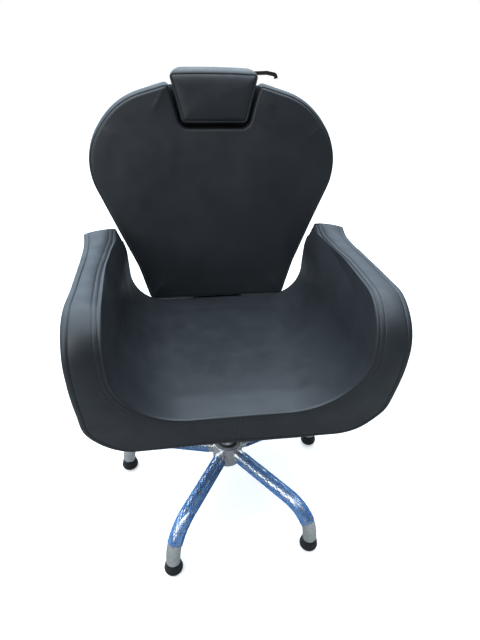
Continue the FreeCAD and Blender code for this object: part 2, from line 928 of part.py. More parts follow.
def make_boss():
    boss_top = cylinder_top + boss_rise
    boss = rod_between(boss_diameter / 2, vec(0, 0, boss_bottom), vec(0, 0, boss_top))
    straight_radius = cylinder_diameter / 2 + running_clearance
    taper_length = cylinder_top - cylinder_taper_start
    bore_foot = vec(0, 0, boss_bottom - cut_overrun)
    bore = rod_between(straight_radius, bore_foot, vec(0, 0, cylinder_taper_start))
    taper = Part.makeCone(straight_radius, straight_radius - cylinder_taper_drop, taper_length,
                          vec(0, 0, cylinder_taper_start))
    throat_radius = straight_radius - cylinder_taper_drop
    throat = rod_between(throat_radius, vec(0, 0, cylinder_top), vec(0, 0, tub_underside))
    ribs = []
    rib_foot = boss_diameter / 2 - rib_thickness / 2
    rib_tip = boss_diameter / 2 + rib_length
    corners = [
        (rib_foot, plate_bottom()),
        (rib_foot, boss_bottom + rib_thickness),
        (boss_diameter / 2 + rib_thickness, boss_bottom + rib_thickness),
        (rib_tip, plate_bottom() - rib_thickness),
        (rib_tip, plate_bottom()),
    ]
    for quarter in range(4):
        rib = plate_on_side(corners, [0] * 5, -rib_thickness / 2, rib_thickness / 2)
        rib.rotate(vec(0, 0, 0), vec(0, 0, 1), 45 + 90 * quarter)
        ribs.append(rib)
    return boss.fuse(ribs).cut(bore).cut(taper).cut(throat)


def make_seat_plate():
    half_width = plate_width / 2
    half_length = plate_length / 2
    outline = rounded_outline(
        [
            (-half_width, -half_length),
            (half_width, -half_length),
            (half_width, half_length),
            (-half_width, half_length),
        ],
        [plate_corner_radius] * 4,
        on_floor(plate_bottom()),
    )
    plate = Part.Face(outline).extrude(vec(0, 0, plate_thickness))
    flange_half = half_length - plate_corner_radius
    flange_corners = [
        (-flange_half, plate_bottom()),
        (-flange_half, plate_bottom() - flange_depth),
        (flange_half, plate_bottom() - flange_depth),
        (flange_half, plate_bottom()),
    ]
    flange_radii = [0, plate_corner_radius, plate_corner_radius, 0]
    flange = plate_on_side(flange_corners, flange_radii, half_width - plate_thickness, half_width)
    slot_half = flange_slot_width / 2
    slot_floor = plate_bottom() - 2 * flange_depth
    slot = box_between(half_width - cut_overrun / 2, half_width + cut_overrun, -slot_half, slot_half,
                       slot_floor, plate_bottom())
    axis_height = lever_axis_height()
    ear_inner = lever_hub_width / 2 + bolt_clearance
    ears = []
    for side in (-1, 1):
        near = side * ear_inner
        far = side * (ear_inner + lever_ear_thickness)
        ears.append(box_between(
            lever_pivot_place - lever_ear_half_width, lever_pivot_place + lever_ear_half_width,
            min(near, far), max(near, far), axis_height - lever_ear_drop, plate_bottom()))
    pin_reach = vec(0, ear_inner + cut_overrun, 0)
    pin_centre = vec(lever_pivot_place, 0, axis_height)
    hole_radius = lever_pin_diameter / 2 + seat_clearance
    pin_hole = rod_between(hole_radius, pin_centre.sub(pin_reach), pin_centre.add(pin_reach))
    plate = plate.fuse([flange.cut(slot), mirrored_x(flange), make_boss()] + ears).cut(pin_hole)
    for x, y in plate_bolt_places():
        plate = plate.cut(bolt_hole(x, y))
    return plate.removeSplitter()


def make_lever_pin():
    half = lever_hub_width / 2 + bolt_clearance + lever_ear_thickness + bolt_clearance
    centre = vec(lever_pivot_place, 0, lever_axis_height())
    reach = vec(0, half, 0)
    head = vec(0, half + plate_thickness / 2, 0)
    pin = rod_between(lever_pin_diameter / 2, centre.sub(reach), centre.add(reach))
    front_head = rod_between(lever_pin_diameter * 2 / 3, centre.sub(head), centre.sub(reach))
    rear_head = rod_between(lever_pin_diameter * 2 / 3, centre.add(reach), centre.add(head))
    return pin.fuse([front_head, rear_head])


# Height lever
def bent_path(points, radius):
    """A path of straight runs through points, each inner point rounded by a tangent arc."""
    edges = []
    start = points[0]
    for index in range(1, len(points) - 1):
        corner = points[index]
        before = points[index - 1].sub(corner)
        after = points[index + 1].sub(corner)
        before.normalize()
        after.normalize()
        half_angle = before.getAngle(after) / 2
        reach = radius / math.tan(half_angle)
        bisector = before.add(after)
        bisector.normalize()
        middle = corner.add(bisector * (radius / math.sin(half_angle) - radius))
        arc_start = corner.add(before * reach)
        arc_end = corner.add(after * reach)
        edges.append(line(start, arc_start))
        edges.append(arc(arc_start, middle, arc_end))
        start = arc_end
    edges.append(line(start, points[-1]))
    return edges


def lever_tip():
    return vec(lever_tip_place, 0, lever_axis_height() - lever_tip_drop)


def lever_direction():
    run = vec(lever_tip_place - lever_bend_place, 0, -lever_tip_drop)
    run.normalize()
    return run


def make_height_lever():
    axis_height = lever_axis_height()
    points = [vec(-lever_inner_reach, 0, axis_height), vec(lever_bend_place, 0, axis_height), lever_tip()]
    rod = sweep_round(bent_path(points, lever_bend_radius), lever_rod_diameter / 2)
    half = vec(0, lever_hub_width / 2, 0)
    centre = vec(lever_pivot_place, 0, axis_height)
    hub = rod_between(lever_hub_diameter / 2, centre.sub(half), centre.add(half))
    bore = rod_between(lever_pin_diameter / 2 + running_clearance, centre.sub(half * 2), centre.add(half * 2))
    return rod.fuse(hub).cut(bore).removeSplitter()


def make_lever_grip():
    bore_radius = lever_rod_diameter / 2 + seat_clearance
    neck = grip_diameter / 2
    end = grip_end_diameter / 2
    full = grip_length + grip_end_cover
    corners = [
        vec(bore_radius, 0, 0),
        vec(neck - grip_end_round, 0, 0),
        vec(neck, 0, grip_end_round),
        vec(neck, 0, grip_length / 2),
        vec(end, 0, full - grip_end_round),
        vec(end - grip_end_round, 0, full),
        vec(0, 0, full),
        vec(0, 0, grip_length),
        vec(bore_radius, 0, grip_length),
    ]
    grip = revolve_profile([line(corners[index - 1], corners[index]) for index in range(len(corners))])
    run = lever_direction()
    turn = FreeCAD.Rotation(vec(0, 0, 1), run)
    grip.Placement = FreeCAD.Placement(lever_tip().sub(run * grip_length), turn)
    return grip


# Recline hinge and strut, seat side
def strut_height():
    return pivot_height - crank_length * (1 + math.cos(math.radians(crank_rest_angle))) / 2


def crank_pin_place():
    return pivot_place + crank_length * math.sin(math.radians(crank_rest_angle))


def crank_place():
    return crank_pin_place(), pivot_height - crank_length * math.cos(math.radians(crank_rest_angle))


def across(radius, x_low, x_high, y, z):
    return rod_between(radius, vec(x_low, y, z), vec(x_high, y, z))


def make_hinge_bracket():
    top = tub_underside - soft_gap
    foot = tub_underside - ear_depth
    corners = [
        (ear_front, top),
        (ear_front, foot),
        (ear_rear_foot, foot),
        (pivot_place + ear_eye_radius, pivot_height),
        (pivot_place - ear_eye_radius, pivot_height),
        (tub_rear + ear_tub_clearance, top),
    ]
    radii = [0, arm_corner_round, ear_eye_radius, 0, 0, 0]
    outer = ear_half_gap + ear_thickness
    ear = plate_on_side(corners, radii, ear_half_gap, outer)
    ear = ear.fuse(across(ear_eye_radius, ear_half_gap, outer, pivot_place, pivot_height))
    flange = box_between(ear_half_gap, outer + ear_flange_width, ear_front, ear_flange_rear,
                         plate_bottom(), tub_underside)
    side = ear.fuse(flange)
    bore_radius = pivot_pin_diameter / 2 + running_clearance
    side = side.cut(across(bore_radius, 0, outer + cut_overrun, pivot_place, pivot_height))
    tube_radius = hinge_tube_diameter / 2
    tube = across(tube_radius, -ear_half_gap, ear_half_gap, pivot_place, pivot_height)
    tube = tube.cut(across(tube_radius - hinge_tube_wall, -outer, outer, pivot_place, pivot_height))
    bridge = box_between(-ear_half_gap, ear_half_gap, ear_front, ear_front + hinge_bridge_length,
                         plate_bottom(), tub_underside)
    cheek_inner = strut_eye_width / 2 + strut_cheek_gap
    cheek_foot = strut_height() - strut_cheek_drop
    cheek_corners = [
        (strut_anchor_place - strut_cheek_half_length, plate_bottom()),
        (strut_anchor_place - strut_cheek_half_length, cheek_foot),
        (strut_anchor_place + strut_cheek_half_length, cheek_foot),
        (strut_anchor_place + strut_cheek_half_length, plate_bottom()),
    ]
    cheek_radii = [0, arm_corner_round, arm_corner_round, 0]
    cheek = plate_on_side(cheek_corners, cheek_radii, cheek_inner, cheek_inner + strut_cheek_thickness)
    pin_radius = strut_pin_diameter / 2 + running_clearance
    cheek = cheek.cut(across(pin_radius, 0, outer, strut_anchor_place, strut_height()))
    bracket = side.fuse([mirrored_x(side), tube, bridge, cheek, mirrored_x(cheek)])
    for x, y in hinge_bolt_places():
        bracket = bracket.cut(bolt_hole(x, y))
    return bracket.removeSplitter()


def make_strut_pin():
    half = strut_eye_width / 2 + strut_cheek_gap + strut_cheek_thickness + strut_cheek_gap
    place = (strut_anchor_place, strut_height())
    pin = across(strut_pin_diameter / 2, -half, half, *place)
    head = across(strut_pin_head_diameter / 2, half, half + strut_pin_head_height, *place)
    return pin.fuse([head, mirrored_x(head)])


def make_strut_tube():
    z = strut_height()
    outer_radius = strut_tube_diameter / 2
    inner_radius = outer_radius - strut_tube_wall
    bore_radius = rod_diameter / 2 + running_clearance
    cavity_start = strut_tube_start + strut_plug_length
    cavity_end = strut_tube_end - strut_gland_length
    corners = [
        vec(0, 0, strut_anchor_place),
        vec(strut_neck_diameter / 2, 0, strut_anchor_place),
        vec(strut_neck_diameter / 2, 0, strut_tube_start),
        vec(outer_radius, 0, strut_tube_start),
        vec(outer_radius, 0, strut_tube_end),
        vec(bore_radius, 0, strut_tube_end),
        vec(bore_radius, 0, cavity_end),
        vec(inner_radius, 0, cavity_end),
        vec(inner_radius, 0, cavity_start),
        vec(0, 0, cavity_start),
    ]
    body = revolve_profile([line(corners[index - 1], corners[index]) for index in range(len(corners))])
    body.Placement = FreeCAD.Placement(vec(0, 0, z), FreeCAD.Rotation(vec(1, 0, 0), -90))
    eye = across(strut_eye_diameter / 2, -strut_eye_width / 2, strut_eye_width / 2, strut_anchor_place, z)
    eye_radius = strut_pin_diameter / 2 + running_clearance
    bore = across(eye_radius, -strut_eye_width, strut_eye_width, strut_anchor_place, z)
    return body.fuse(eye).cut(bore).removeSplitter()


def trip_centre():
    return crank_pin_place() + trip_pivot_back, strut_height() + trip_pivot_rise


def make_strut_rod():
    z = strut_height()
    crank_y = crank_pin_place()
    head_front = crank_y - strut_head_front
    head_rear = crank_y + strut_head_rear
    half_width = strut_head_width / 2
    half_height = strut_head_height / 2
    corners = [
        (head_front, z - half_height),
        (head_rear, z - half_height),
        (head_rear, z + half_height),
        (head_front, z + half_height),
    ]
    head = plate_on_side(corners, [strut_head_round] * 4, -half_width, half_width)
    eye = across(crank_pin_diameter / 2 + strut_eye_play, -strut_head_width, strut_head_width, crank_y, z)
    head = head.cut(eye)
    rod = rod_between(rod_diameter / 2, vec(0, strut_rod_inner_end, z), vec(0, head_front, z))
    piston_radius = strut_tube_diameter / 2 - strut_tube_wall - running_clearance
    piston_front = vec(0, strut_rod_inner_end, z)
    piston = rod_between(piston_radius, piston_front, piston_front.add(vec(0, strut_piston_length, 0)))
    return rod.fuse([piston, head, make_trip_stud()]).removeSplitter()


def strap(first, first_radius, second, second_radius, x_low, x_high):
    """A flat link in the YZ plane: two round ends joined by their outer tangents."""
    delta_y = second[0] - first[0]
    delta_z = second[1] - first[1]
    distance = math.hypot(delta_y, delta_z)
    lean = math.asin((first_radius - second_radius) / distance)
    heading = math.atan2(delta_z, delta_y)
    corners = []
    for centre, radius, side in (
        (first, first_radius, 1),
        (second, second_radius, 1),
        (second, second_radius, -1),
        (first, first_radius, -1),
    ):
        angle = heading + side * (math.pi / 2 - lean)
        corners.append((centre[0] + radius * math.cos(angle), centre[1] + radius * math.sin(angle)))
    web = plate_on_side(corners, [0] * 4, x_low, x_high)
    first_end = across(first_radius, x_low, x_high, *first)
    second_end = across(second_radius, x_low, x_high, *second)
    return web.fuse([first_end, second_end]).removeSplitter()


def make_trip_lever():
    pivot = trip_centre()
    inner = strut_head_width / 2 + trip_side_gap
    outer = inner + trip_thickness
    tip = (pivot[0], pivot[1] + trip_reach)
    arm = strap(pivot, trip_eye_radius, tip, trip_tip_radius, inner, outer)
    nose_front = crank_pin_place() + strut_head_rear + trip_nose_gap
    nose_rear = nose_front + trip_nose_thickness
    nose_foot = pivot[1] - trip_nose_drop
    nose = box_between(-trip_thickness, outer, nose_front, nose_rear, nose_foot, pivot[1])
    link = box_between(inner, outer, pivot[0], nose_rear, nose_foot, pivot[1])
    bore = across(trip_pin_diameter / 2 + running_clearance, 0, outer + cut_overrun, *pivot)
    return arm.fuse([nose, link]).cut(bore).removeSplitter()


def make_trip_stud():
    """The stud that the trip lever turns on, riveted into the rod's head."""
    pivot = trip_centre()
    outer = strut_head_width / 2 + trip_side_gap + trip_thickness + trip_side_gap
    pin = across(trip_pin_diameter / 2, 0, outer, *pivot)
    head = across(trip_eye_radius - trip_side_gap, outer, outer + trip_thickness / 2, *pivot)
    return pin.fuse(head)


def pivot_outer():
    return ear_half_gap + ear_thickness + pivot_washer_height + bolt_clearance


def make_hinge_pin():
    inner = ear_half_gap - bolt_clearance
    outer = pivot_outer() + arm_thickness + bolt_clearance
    place = (pivot_place, pivot_height)
    shank = across(pivot_pin_diameter / 2, inner, outer, *place)
    clip = across(pivot_clip_diameter / 2, inner - pivot_clip_height, inner, *place)
    head = across(pivot_head_diameter / 2, outer, outer + pivot_head_height, *place)
    circles = [edge for edge in head.Edges if len(edge.Vertexes) == 1]
    rims = [edge for edge in circles if edge.CenterOfMass.x > outer + seat_clearance]
    head = head.makeChamfer(pivot_head_round, rims)
    return shank.fuse([clip, head]).removeSplitter()


def make_hinge_washer():
    inner = ear_half_gap + ear_thickness + bolt_clearance / 2
    washer = across(pivot_head_diameter / 2, inner, inner + pivot_washer_height, pivot_place, pivot_height)
    bore = across(pivot_pin_diameter / 2 + seat_clearance, 0, inner + cut_overrun, pivot_place, pivot_height)
    return washer.cut(bore)


# Back rest: shapes drawn in the upright frame of the face, then leaned into place
def lean_back(shape):
    leaned = shape.copy()
    turn = FreeCAD.Rotation(vec(1, 0, 0), -back_lean)
    leaned.Placement = FreeCAD.Placement(vec(0, back_foot_place, back_foot_height), turn)
    return leaned


def to_face_frame(y, z):
    angle = math.radians(back_lean)
    forward = y - back_foot_place
    upward = z - back_foot_height
    depth = forward * math.cos(angle) - upward * math.sin(angle)
    rise = forward * math.sin(angle) + upward * math.cos(angle)
    return depth, rise


def flat(x, z):
    return FreeCAD.Vector(x, z, 0)


def inset_vertex(before, vertex, after, inset):
    """An outline's corner moved inwards; the solid lies on the left of the direction of travel."""
    arriving = vertex.sub(before)
    leaving = after.sub(vertex)
    arriving.normalize()
    leaving.normalize()
    first_normal = flat(-arriving.y, arriving.x)
    second_normal = flat(-leaving.y, leaving.x)
    share = inset / (1 + first_normal.dot(second_normal))
    return vertex.add(first_normal.add(second_normal) * share)


def back_corners(notched):
    """The right half of the outline's corners from the foot up: x, z, rounding, and 1 where it bulges."""
    corners = [
        (back_foot_half, -back_foot_drop, back_foot_round, 1),
        (waist_half, waist_height, waist_radius, -1),
        (side_half, side_height, side_radius, 1),
        (crest_half, crest_height, crest_radius, 1),
        (shoulder_half, shoulder_height, shoulder_round, 1),
    ]
    if notched:
        corners.append((notch_floor_half, notch_floor, notch_round, -1))
    return corners


def back_outline(inset, notched, depth, spread=1):
    """The back's outline, moved inwards by an inset; spread shrinks it towards the crown's centre."""
    right = back_corners(notched)
    left = [(-x, z, radius, bulge) for x, z, radius, bulge in reversed(right)]
    chain = right + left
    count = len(chain)
    corners = []
    radii = []
    for index in range(count):
        before, corner, after = (
            flat(*chain[place % count][:2]) for place in (index - 1, index, index + 1)
        )
        moved = inset_vertex(before, corner, after, inset)
        radius = max(chain[index][2] - chain[index][3] * inset, crease_radius)
        height = crown_centre_height + (moved.y - crown_centre_height) * spread
        corners.append((moved.x * spread, height))
        radii.append(radius * spread)
    return rounded_outline(corners, radii, on_front(depth))


def board_front_depth():
    return back_pad_depth + soft_gap


def board_rear_depth():
    return board_front_depth() + board_thickness


def bar_rear_depth():
    return board_front_depth() - bar_rear_gap


def bar_front_depth():
    return bar_rear_depth() - bar_thickness


def make_back_pad():
    sections = [
        back_outline(rear_draw_in, True, back_pad_depth),
        back_outline(0, True, side_bulge_depth),
        back_outline(front_round_inset, True, front_round_depth),
        back_outline(face_seam_inset, True, face_seam_depth),
    ]
    for rise, spread in zip(crown_rise_shares, crown_spread_shares):
        depth = face_seam_depth - crown_height * rise
        sections.append(back_outline(face_seam_inset, True, depth, spread))
    border = Part.makeLoft(sections[:4], True, False)
    crown = Part.makeLoft(sections[3:], True, False)
    pad = border.fuse(crown)
    pocket_half = bar_width / 2 + seat_clearance + guide_wall + guide_tab_width + guide_pocket_gap
    pocket_front = bar_front_depth() - seat_clearance - guide_wall - guide_pocket_gap
    pocket = box_between(-pocket_half, pocket_half, pocket_front, back_pad_depth + cut_overrun,
                         bar_bottom - bar_corner_round, notch_floor + cut_overrun / 2)
    return lean_back(pad.cut(pocket).removeSplitter())


def make_back_board():
    face = Part.Face(back_outline(board_inset, False, board_front_depth()))
    return lean_back(face.extrude(vec(0, board_thickness, 0)))


def back_window(half_low, half_high, foot, top, radius, depth):
    corners = [(half_low, foot), (half_high, foot), (half_high, top), (half_low, top)]
    wire = rounded_outline(corners, [radius] * 4, on_front(depth))
    return Part.Face(wire).extrude(vec(0, cut_overrun, 0))


def cable_depth():
    return board_rear_depth() + handle_bracket_thickness + handle_side_gap + cable_diameter / 2


def make_rear_pad():
    front = board_rear_depth() + soft_gap
    sections = [
        back_outline(rear_pad_inset, False, front),
        back_outline(rear_pad_round_inset, False, front + rear_pad_round_depth),
        back_outline(rear_pad_draw_in, False, front + rear_pad_depth),
    ]
    pad = Part.makeLoft(sections, True, False)
    window_half = pivot_outer() + arm_thickness + arm_flange_width + rear_window_gap
    window_top = arm_top + rear_window_rise
    arm_window = back_window(-window_half, window_half, -cut_overrun, window_top,
                             rear_window_round, front - cut_overrun / 2)
    top_window = back_window(
        handle_bracket_left - top_window_gap, handle_bracket_right + top_window_gap,
        handle_bracket_foot - top_window_gap, shoulder_height + cut_overrun, handle_bracket_round,
        front - cut_overrun / 2)
    half_groove = cable_diameter / 2 + cable_groove_clearance
    groove = box_between(cable_lane - half_groove, cable_lane + half_groove, front - cut_overrun,
                         cable_depth() + half_groove, window_top - cut_overrun, handle_bracket_foot)
    return lean_back(pad.cut(arm_window).cut(top_window).cut(groove))


# Back arms and their fasteners
def arm_bolt_places():
    x = pivot_outer() + arm_thickness + arm_flange_width / 2
    heights = [arm_bolt_low + index * arm_bolt_pitch for index in range(arm_bolt_count)]
    return [(side * x, z) for side in (-1, 1) for z in heights]


def make_back_arm():
    inner = pivot_outer()
    outer = inner + arm_thickness
    rear = board_rear_depth()
    pivot = to_face_frame(pivot_place, pivot_height)
    crank = to_face_frame(*crank_place())
    corners = [
        (rear, arm_top),
        (rear, pivot[1] + arm_eye_radius),
        (pivot[0], pivot[1] + arm_eye_radius),
        (pivot[0], pivot[1]),
        (crank[0] - crank_eye_radius, crank[1]),
        (crank[0] + crank_eye_radius, crank[1]),
        (rear + arm_web_depth, arm_foot),
        (rear + arm_web_top_depth, arm_top),
    ]
    web = plate_on_side(corners, [0] * 8, inner, outer)
    web = web.fuse([strap(pivot, arm_eye_radius, crank, crank_eye_radius, inner, outer)])
    flange_corners = [
        (inner, arm_foot),
        (outer + arm_flange_width, arm_foot),
        (outer + arm_flange_width, arm_top),
        (inner, arm_top),
    ]
    flange_radii = [0, arm_corner_round, arm_corner_round, 0]
    flange = Part.Face(rounded_outline(flange_corners, flange_radii, on_front(rear)))
    arm = web.fuse(flange.extrude(vec(0, arm_thickness, 0)))
    arm = arm.cut(across(pivot_pin_diameter / 2 + running_clearance, 0, outer + cut_overrun, *pivot))
    arm = arm.cut(across(crank_pin_diameter / 2 + seat_clearance, 0, outer + cut_overrun, *crank))
    for x, z in arm_bolt_places():
        hole_radius = arm_bolt_diameter / 2 + bolt_clearance
        arm = arm.cut(rod_between(hole_radius, vec(x, 0, z), vec(x, rear + cut_overrun, z)))
    return arm.removeSplitter()


def make_arm_bolts():
    seat = board_rear_depth() + arm_thickness
    bolts = []
    for x, z in arm_bolt_places():
        head = hex_between(arm_bolt_flats_width, vec(x, seat, z), vec(x, seat + arm_bolt_head_height, z))
        shank = rod_between(arm_bolt_diameter / 2, vec(x, seat - arm_bolt_length, z), vec(x, seat, z))
        bolts.append(head.fuse(shank).removeSplitter())
    return lean_back(group(bolts))


def bore_board_for_bolts(board):
    seat = board_rear_depth() + arm_thickness
    for x, z in arm_bolt_places():
        hole_radius = arm_bolt_diameter / 2 + running_clearance
        hole = rod_between(hole_radius, vec(x, seat - arm_bolt_length, z), vec(x, seat, z))
        board = board.cut(lean_back(hole))
    return board


def make_crank_pin():
    half = pivot_outer() + arm_thickness + bolt_clearance
    place = crank_place()
    pin = across(crank_pin_diameter / 2, -half, half, *place)
    head = across(crank_pin_head_diameter / 2, half, half + crank_pin_head_height, *place)
    return pin.fuse([head, mirrored_x(head)])


# Head rest
def head_outline(inset, depth, spread=1.0):
    """The head rest's outline at a depth; it narrows and rises towards the rear."""
    full_depth = head_pad_rear() + head_face_proud
    share = (depth + head_face_proud) / full_depth
    share = max(share, 0)
    taper = head_rear_taper * share
    rise = head_rear_rise * share
    centre = (head_foot + head_top) / 2
    corners = []
    for x, z in (
        (-head_foot_half + inset, head_foot + inset),
        (head_foot_half - inset, head_foot + inset),
        (head_top_half - inset - taper, head_top - inset + rise),
        (-head_top_half + inset + taper, head_top - inset + rise),
    ):
        corners.append((x * spread, centre + (z - centre) * spread))
    radii = [head_corner_round * spread] * 4
    return rounded_outline(corners, radii, on_front(depth))


def head_pad_rear():
    return head_board_front() - soft_gap


def head_board_front():
    return bar_front_depth() - head_board_thickness


def make_head_pad():
    front = -head_face_proud
    bulge = front + (head_pad_rear() - front) * head_bulge_share
    sections = [
        head_outline(head_seam_inset, head_pad_rear()),
        head_outline(0, bulge),
        head_outline(head_seam_inset, front + head_seam_depth),
    ]
    border = Part.makeLoft(sections, True, False)
    crown_sections = [sections[-1]]
    for rise, spread in zip(head_crown_shares, head_spread_shares):
        depth = front + head_seam_depth - head_crown * rise
        crown_sections.append(head_outline(head_seam_inset, depth, spread))
    crown = Part.makeLoft(crown_sections, True, False)
    return lean_back(border.fuse(crown).removeSplitter())


def make_head_board():
    wire = head_outline(head_board_inset, head_board_front())
    board = Part.Face(wire).extrude(vec(0, head_board_thickness, 0))
    for x, z in head_screw_places():
        hole_radius = head_screw_diameter / 2 + running_clearance
        hole_foot = vec(x, bar_front_depth() - head_screw_length, z)
        hole = rod_between(hole_radius, hole_foot, vec(x, bar_rear_depth(), z))
        board = board.cut(hole)
    return lean_back(board)


def head_screw_places():
    half = head_screw_pitch / 2
    heights = (head_screw_height, head_screw_height + head_screw_pitch)
    return [(side * half, z) for side in (-1, 1) for z in heights]


def make_head_bar():
    half = bar_width / 2
    corners = [(-half, bar_bottom), (half, bar_bottom), (half, bar_top), (-half, bar_top)]
    wire = rounded_outline(corners, [bar_corner_round] * 4, on_front(bar_front_depth()))
    bar = Part.Face(wire).extrude(vec(0, bar_thickness, 0))
    for x, z in head_screw_places():
        hole = rod_between(head_screw_diameter / 2 + seat_clearance, vec(x, bar_front_depth(), z),
                           vec(x, bar_rear_depth(), z))
        bar = bar.cut(hole)
    return lean_back(bar)


def make_head_screws():
    screws = []
    seat = bar_rear_depth()
    for x, z in head_screw_places():
        head_top_face = vec(x, seat + head_screw_head_height, z)
        head = rod_between(head_screw_head_diameter / 2, vec(x, seat, z), head_top_face)
        tip = vec(x, bar_front_depth() - head_screw_length, z)
        screws.append(head.fuse(rod_between(head_screw_diameter / 2, tip, vec(x, seat, z))))
    return lean_back(group(screws))


def make_head_guide():
    inner_half = bar_width / 2 + seat_clearance
    outer_half = inner_half + guide_wall
    front = bar_front_depth() - seat_clearance - guide_wall
    rear = board_front_depth()
    body = box_between(-outer_half, outer_half, front, rear, guide_bottom, guide_top)
    slot = box_between(-inner_half, inner_half, front + guide_wall, bar_rear_depth() + seat_clearance,
                       guide_bottom - cut_overrun, guide_top + cut_overrun)
    tabs = box_between(-outer_half - guide_tab_width, outer_half + guide_tab_width, rear - guide_wall, rear,
                       guide_bottom, guide_top)
    return lean_back(body.fuse(tabs).cut(slot).removeSplitter())


# Recline lever, its bracket and its cable
def make_handle_bracket():
    rear = board_rear_depth()
    top = handle_pivot_height + handle_bracket_rise
    corners = [
        (handle_bracket_left, handle_bracket_foot),
        (handle_bracket_right, handle_bracket_foot),
        (handle_bracket_right, top),
        (handle_bracket_left, top),
    ]
    wire = rounded_outline(corners, [handle_bracket_round] * 4, on_front(rear))
    plate = Part.Face(wire).extrude(vec(0, handle_bracket_thickness, 0))
    clamp_radius = cable_diameter / 2 + handle_bracket_thickness
    clamp_foot = vec(cable_lane, cable_depth(), cable_top_height - cable_clamp_length)
    clamp = rod_between(clamp_radius, clamp_foot, vec(cable_lane, cable_depth(), cable_top_height))
    web = box_between(cable_lane - clamp_radius, cable_lane + clamp_radius, rear, cable_depth(),
                      cable_top_height - cable_clamp_length, cable_top_height)
    cable_bore = rod_between(cable_diameter / 2 + cable_clamp_gap, vec(cable_lane, cable_depth(), 0),
                             vec(cable_lane, cable_depth(), handle_pivot_height))
    bracket = plate.fuse([clamp, web]).cut(cable_bore)
    hole_start = vec(handle_pivot_place, 0, handle_pivot_height)
    hole_end = vec(handle_pivot_place, rear + cut_overrun, handle_pivot_height)
    pin_hole = rod_between(handle_pin_diameter / 2 + seat_clearance, hole_start, hole_end)
    bracket = bracket.cut(pin_hole)
    for x, z in bracket_screw_places():
        hole_radius = head_screw_diameter / 2 + bolt_clearance
        bracket = bracket.cut(rod_between(hole_radius, vec(x, 0, z), vec(x, rear + cut_overrun, z)))
    return lean_back(bracket.removeSplitter())


def bracket_screw_places():
    low = handle_bracket_foot + bracket_screw_rise
    x = handle_bracket_right - bracket_screw_inset
    return [(x, low), (x - bracket_screw_pitch / 3, low + bracket_screw_pitch)]


def make_bracket_screws():
    seat = board_rear_depth() + handle_bracket_thickness
    screws = []
    for x, z in bracket_screw_places():
        head_top_face = vec(x, seat + head_screw_head_height, z)
        head = rod_between(head_screw_head_diameter / 2, vec(x, seat, z), head_top_face)
        tip = vec(x, seat - handle_bracket_thickness - head_screw_length, z)
        screws.append(head.fuse(rod_between(head_screw_diameter / 2, tip, vec(x, seat, z))))
    return lean_back(group(screws))


def bore_board_for_screws(board):
    for x, z in bracket_screw_places():
        seat = board_rear_depth()
        hole = rod_between(head_screw_diameter / 2 + running_clearance, vec(x, seat - head_screw_length, z),
                           vec(x, seat, z))
        board = board.cut(lean_back(hole))
    return board


def handle_front_depth():
    return board_rear_depth() + handle_bracket_thickness + handle_side_gap


def make_recline_handle():
    x = handle_pivot_place
    z = handle_pivot_height
    depth = handle_front_depth() + handle_thickness / 2
    points = [
        vec(x - handle_tail, depth, z),
        vec(x, depth, z),
        vec(x + handle_crest, depth, z + handle_rise),
        vec(x + handle_tip, depth, z - handle_shoulder_drop),
        vec(x + handle_tip + handle_bend_radius / 3, depth, z - handle_tip_drop),
    ]
    edges = bent_path(points, handle_bend_radius)
    path = Part.Wire(edges)
    half_width = handle_width / 2
    half_thickness = handle_thickness / 2
    start = points[0]
    corners = [
        start.add(vec(0, -half_thickness, -half_width)),
        start.add(vec(0, half_thickness, -half_width)),
        start.add(vec(0, half_thickness, half_width)),
        start.add(vec(0, -half_thickness, half_width)),
    ]
    profile = Part.Wire([line(corners[index - 1], corners[index]) for index in range(len(corners))])
    bar = path.makePipeShell([profile], True, False)
    hub_front = vec(x, handle_front_depth(), z)
    hub_rear = hub_front.add(vec(0, handle_thickness, 0))
    hub = rod_between(handle_hub_diameter / 2, hub_front, hub_rear)
    bore_radius = handle_pin_diameter / 2 + running_clearance
    bore = rod_between(bore_radius, vec(x, 0, z), vec(x, depth + cut_overrun, z))
    return lean_back(bar.fuse(hub).cut(bore).removeSplitter())


def make_handle_pin():
    x = handle_pivot_place
    z = handle_pivot_height
    inner = board_rear_depth() - handle_side_gap
    outer = handle_front_depth() + handle_thickness + handle_side_gap
    pin = rod_between(handle_pin_diameter / 2, vec(x, inner, z), vec(x, outer, z))
    front_head = rod_between(handle_pin_head / 2, vec(x, inner - handle_pin_head_height, z), vec(x, inner, z))
    rear_head = rod_between(handle_pin_head / 2, vec(x, outer, z), vec(x, outer + handle_pin_head_height, z))
    return lean_back(pin.fuse([front_head, rear_head]))


def make_release_cable():
    depth = cable_depth()
    points = [
        vec(cable_lane, depth, cable_top_height + cable_clamp_length / 2),
        vec(cable_lane, depth, cable_turn_height),
        vec(cable_low_place, depth + cable_diameter * 2, cable_low_height),
        vec(cable_foot_place, cable_foot_depth, cable_foot_height),
    ]
    edges = bent_path(points, cable_bend_radius)
    return lean_back(sweep_round(edges, cable_diameter / 2))


def export(name, shape):
    shape.exportStep("parts/" + name + ".step")
    print(name, "valid", shape.isValid(), "solids", len(shape.Solids), "volume", round(shape.Volume))


